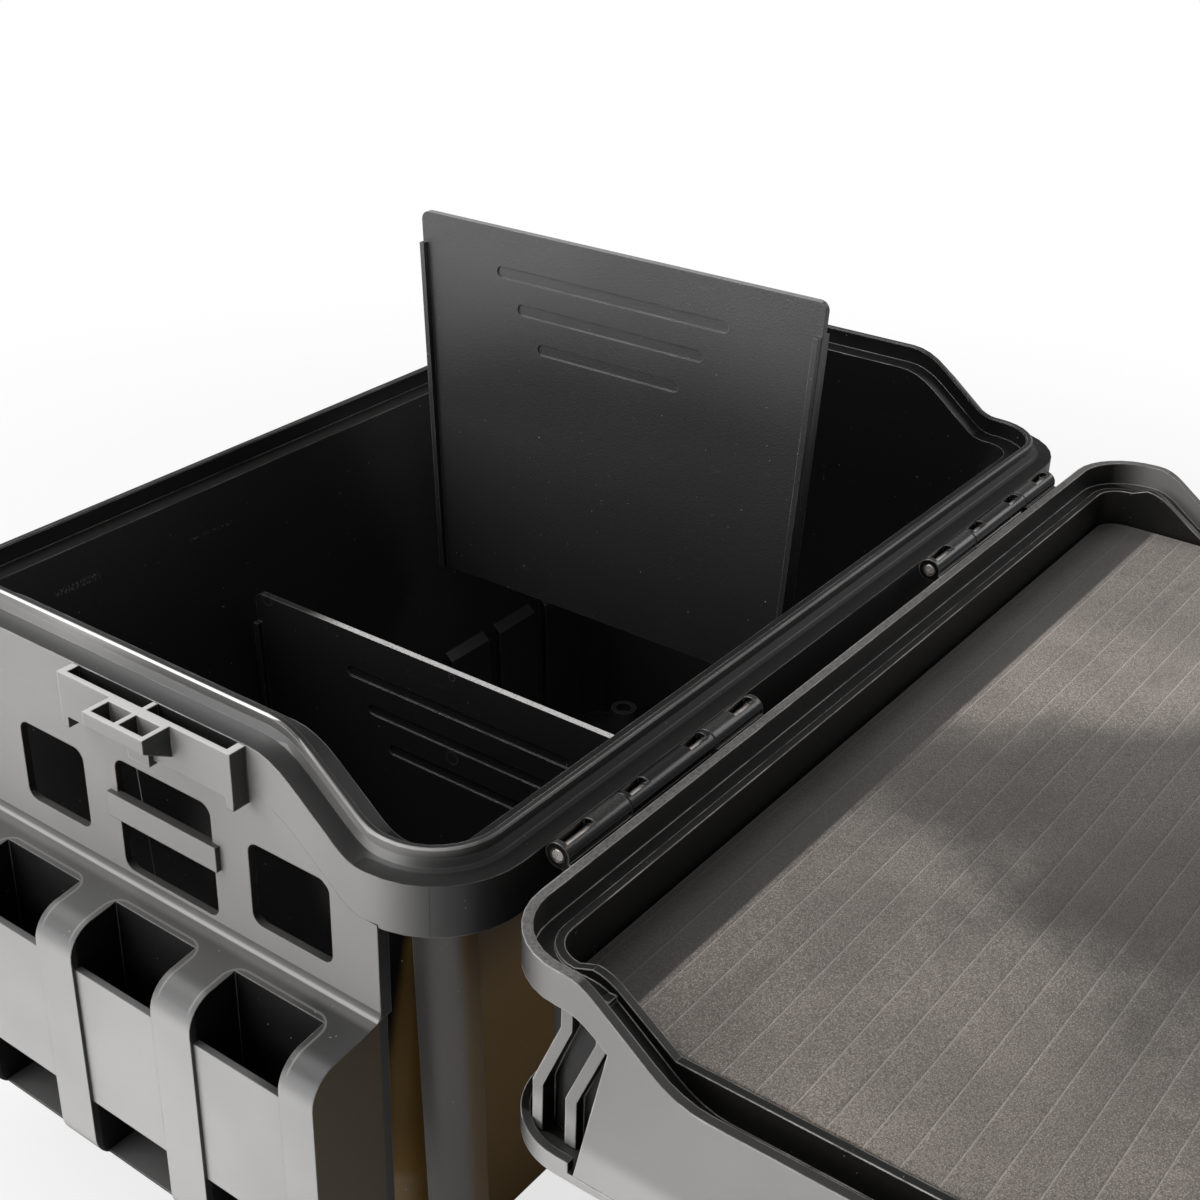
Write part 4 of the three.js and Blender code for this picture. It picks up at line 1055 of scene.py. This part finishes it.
smoothArcs = smoothByAngle(smoothing)
for name, obj in nodes.items():
    if name not in softNodes:
        obj.modifiers.new("smoothArcs", "NODES").node_group = smoothArcs
print("round faces smoothed")


def addPiece(name, points, faces, material, body, smooth=True):
    mesh = bpy.data.meshes.new(name)
    mesh.from_pydata(points.tolist(), [], faces)
    mesh.update()
    mesh.polygons.foreach_set("use_smooth", [smooth] * len(mesh.polygons))
    mesh.materials.append(material)
    obj = bpy.data.objects.new(name, mesh)
    bpy.context.scene.collection.objects.link(obj)
    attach(obj, body)
    return obj


def gridFaces(rows, columns, first=0, flip=False):
    # quads of a grid whose points run along the columns first
    i, j = np.meshgrid(np.arange(rows - 1), np.arange(columns - 1), indexing="ij")
    a = first + (i * columns + j).ravel()
    quads = np.stack([a, a + 1, a + columns + 1, a + columns], 1)
    return quads[:, ::-1] if flip else quads


def edgeRing(rows, columns):
    # the grid's border points, once round
    grid = np.arange(rows * columns).reshape(rows, columns)
    return np.concatenate([grid[0, :-1], grid[:-1, -1], grid[-1, :0:-1], grid[:0:-1, 0]])


def insideEdge(x, y, halfLength, halfWidth, radius):
    # distance in from the border of a rounded rectangle: the radius less the length of what x
    # and y stand beyond the corner's centre
    qx = np.abs(x) - (halfLength - radius)
    qy = np.abs(y) - (halfWidth - radius)
    outside = np.hypot(np.maximum(qx, 0), np.maximum(qy, 0))
    return radius - outside - np.minimum(np.maximum(qx, qy), 0)


padShape = {
    "edgeSteps": 6,
    "grooveSteps": (-1.6, -1, -0.5, 0, 0.5, 1, 1.6),    # rows across a groove, in half widths
    "leastRow": 0.00008,
    "grooveSpread": 0.42,
    "grooveFade": 0.002,
    # the surface wanders by sums of sin(ax + by + c) sin(dx + ey + f)
    "ripples": [((31, 17, 0), (-9, 43, 0)), ((11, 0, -1), (0, 23, 2))],
}


def padRows(halfWidth, look):
    # y of the rows: even ones, closer ones at the rounded borders, and some across each groove
    turn = look["turn"]
    fall = turn * (1 - np.cos(np.linspace(0, math.pi / 2, padShape["edgeSteps"])))
    step = look["grooveWide"] / 2 * np.array(padShape["grooveSteps"])
    across = (np.array(look["grooves"])[:, None] + step).ravel()
    even = np.linspace(-1, 1, look["rows"]) * (halfWidth - turn)
    y = np.unique(np.round(np.concatenate([across, even, halfWidth - fall, fall - halfWidth]), 6))
    y = y[np.concatenate([[True], np.diff(y) > padShape["leastRow"]])]
    y[-1] = halfWidth
    return y, fall


def pad(low, high, look, face):
    # A rounded sheet: x is a share s of the row's half length, y is the row. Both faces fall off
    # at the border by a quarter circle, and the show face also by its crown, a fourth power of
    # the way out, by its grooves, bells across y, and by slow ripples.
    middle = (np.array(low) + np.array(high)) / 2
    halfLength, halfWidth, halfThick = (np.array(high) - np.array(low)) / 2
    radius, turn = look["radius"], look["turn"]
    y, fall = padRows(halfWidth, look)
    even = np.linspace(-1, 1, look["columns"]) * (1 - turn / halfLength)
    s = np.concatenate([even, 1 - fall / halfLength, fall / halfLength - 1])
    s = np.unique(np.round(s, 6))
    over = np.maximum(np.abs(y) - (halfWidth - radius), 0)
    rowLength = halfLength - radius + np.sqrt(np.maximum(radius ** 2 - over ** 2, 0))
    x = s[None, :] * rowLength[:, None]
    yy = np.repeat(y[:, None], len(s), 1)
    inside = np.clip(insideEdge(x, yy, halfLength, halfWidth, radius), 0, turn)
    drop = turn - np.sqrt(np.maximum(turn ** 2 - (turn - inside) ** 2, 0))
    crown = look["crown"] * (1 - (1 - (x / halfLength) ** 4) * (1 - (yy / halfWidth) ** 4))
    spread = look["grooveWide"] * padShape["grooveSpread"]
    away = (yy[..., None] - np.array(look["grooves"])) / spread
    groove = look["grooveDeep"] * np.exp(-away ** 2).sum(-1)
    groove *= np.clip((look["grooveReach"] - np.abs(x)) / padShape["grooveFade"], 0, 1)
    waves = [[np.sin(a * x + b * yy + c) for a, b, c in pair] for pair in padShape["ripples"]]
    ripple = np.abs(look["wander"] * sum(first * second for first, second in waves))
    show = halfThick - drop - crown - groove - ripple * np.clip(inside / turn, 0, 1)
    back = -halfThick + drop
    rows, columns = x.shape
    top, base = (np.stack([x, yy, face * z], -1).reshape(-1, 3) + middle for z in (show, back))
    up = gridFaces(rows, columns, 0, face > 0)
    down = gridFaces(rows, columns, rows * columns, face < 0)
    a = edgeRing(rows, columns)
    b = a + rows * columns
    side = np.stack([a, np.roll(a, -1), np.roll(b, -1), b], 1)
    if face > 0:
        side = side[:, ::-1]
    return np.concatenate([top, base]), np.concatenate([up, down, side]).tolist()


matPad = {
    "radius": 0.010,
    "turn": 0.0011,
    "grooves": [matScore["middle"] - (matScore["offset"] + matScore["pitch"] * i)
                for i in range(-12, 13)],
    "grooveWide": 0.0009,
    "grooveDeep": 0.0002,
    "grooveReach": 0.204,
    "rows": 60,
    "columns": 90,
    "crown": 0.0,
    "wander": 0.00012,
}


def addMat(look):
    low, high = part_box("lid_mat")
    centre = (low[1] + high[1]) / 2
    look = {**look, "grooves": [g - centre for g in look["grooves"]]}
    points, faces = pad(low, high, look, 1)
    piece = addPiece("lidMatFoam", points, faces, matFoam, "lid")
    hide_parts("lid_mat")


addMat(matPad)

cushionPad = {
    "radius": 0.020,
    "turn": 0.0034,
    "grooves": [-0.066, -0.022, 0.022, 0.066],
    "grooveWide": 0.0036,
    "grooveDeep": 0.0014,
    "grooveReach": 0.19,
    "rows": 60,
    "columns": 80,
    "crown": 0.0012,
    "wander": 0.0002,
}


def addCushion(look):
    low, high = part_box("seat_cushion")
    points, faces = pad(low, high, look, -1)
    piece = addPiece("seatCushionFoam", points, faces, seatFoam, "lid")
    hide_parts("seat_cushion")


addCushion(cushionPad)
print("foam mat and seat cushion made")


def tubeFaces(rows, ring):
    # quads round each pair of rows, and a cap at both ends
    i, k = np.meshgrid(np.arange(rows - 1), np.arange(ring), indexing="ij")
    a, b = (i * ring + k).ravel(), (i * ring + (k + 1) % ring).ravel()
    quads = np.stack([a, b, b + ring, a + ring], 1).tolist()
    last = (rows - 1) * ring
    return quads + [list(range(ring))[::-1], list(range(last, last + ring))]


def addTrim(name, points, rows, material, side):
    # a closed strip on the near end, or turned by half a circle on the far end
    if side < 0:
        points = points * (-1, -1, 1)
    faces = tubeFaces(rows, len(points) // rows)
    piece = addPiece(name, points, faces, material, "body", False)
    work = bmesh.new()
    work.from_mesh(piece.data)
    bmesh.ops.recalc_face_normals(work, faces=work.faces)
    work.to_mesh(piece.data)
    work.free()
    return piece


# thin strip over the seam where an end panel meets the skirt
seamStrip = {
    "face": 0.22300,
    "proud": 0.00004,
    "deep": 0.0004,
    "half": 0.0012,
    "foot": 0.20315,           # middle of the seam below the straight rim
    "rise": 0.0256,
    "slope": 0.81,
    "topCorner": 0.0766,
    "topBlend": 0.009,
    "footBlend": 0.005,
    "from": -0.1285,
    "to": 0.1193,
    "rows": 260,
}


def waveAt(y, look):
    # flat in the middle, a parabola, a straight slope, a parabola, then flat
    u = np.abs(y)
    rise, slope, t, f = (look[key] for key in ("rise", "slope", "topBlend", "footBlend"))
    top, foot = look["topCorner"], look["topCorner"] + rise / slope
    pieces = [rise + 0 * u, rise - slope * (u - top + t) ** 2 / (4 * t), rise - slope * (u - top),
              slope * (foot + f - u) ** 2 / (4 * f)]
    return np.select([u <= top - t, u <= top + t, u <= foot - f, u <= foot + f], pieces, 0)


def addSeam(name, look, side):
    # a flat rectangle, carried along the wave and held square to it
    y = np.linspace(look["from"], look["to"], look["rows"])
    z = look["foot"] + waveAt(y, look)
    slope = np.gradient(z, y)
    away = np.stack([-slope, np.ones_like(slope)], 1) / np.hypot(slope, 1)[:, None] * look["half"]
    outer, inner = look["face"] + look["proud"], look["face"] - look["deep"]
    corners = [np.stack([np.full_like(y, x), y + sign * away[:, 0], z + sign * away[:, 1]], 1)
               for x, sign in ((outer, 1), (outer, -1), (inner, -1), (inner, 1))]
    points = np.stack(corners, 1).reshape(-1, 3)
    addTrim(name, points, len(y), seamPlastic, side)


addSeam("nearPanelSeam", seamStrip, 1)
addSeam("farPanelSeam", seamStrip, -1)
print("panel seams closed")

# concave fillet along the crease between an end panel and its rack
creaseFillet = {
    "face": (0.22304, 0.1703),         # where it leaves the panel: x and z
    "shelf": (0.22550, 0.16666),       # where it meets the shelf
    "back": [(0.22550, 0.16650), (0.22270, 0.16700), (0.22270, 0.1703)],
    "from": -0.12840,
    "to": 0.11920,
    "steps": 12,
    "rows": 40,
}


def addFillet(name, look, side):
    # a quarter of an ellipse about the point above the shelf's end and beside the panel's,
    # closed at the back and carried along y
    (x0, z0), (x1, z1) = look["face"], look["shelf"]
    t = np.linspace(0, math.pi / 2, look["steps"])
    profile = np.stack([x1 - (x1 - x0) * np.cos(t), z0 - (z0 - z1) * np.sin(t)], 1)
    profile = np.concatenate([profile, look["back"]])
    y = np.linspace(look["from"], look["to"], look["rows"])
    x, z = (np.tile(profile[:, i], len(y)) for i in (0, 1))
    points = np.stack([x, np.repeat(y, len(profile)), z], 1)
    piece = addTrim(name, points, len(y), filletPlastic, side)
    piece.modifiers.new("smoothArcs", "NODES").node_group = smoothArcs


addFillet("nearRackFillet", creaseFillet, 1)
addFillet("farRackFillet", creaseFillet, -1)
print("rack fillets made")
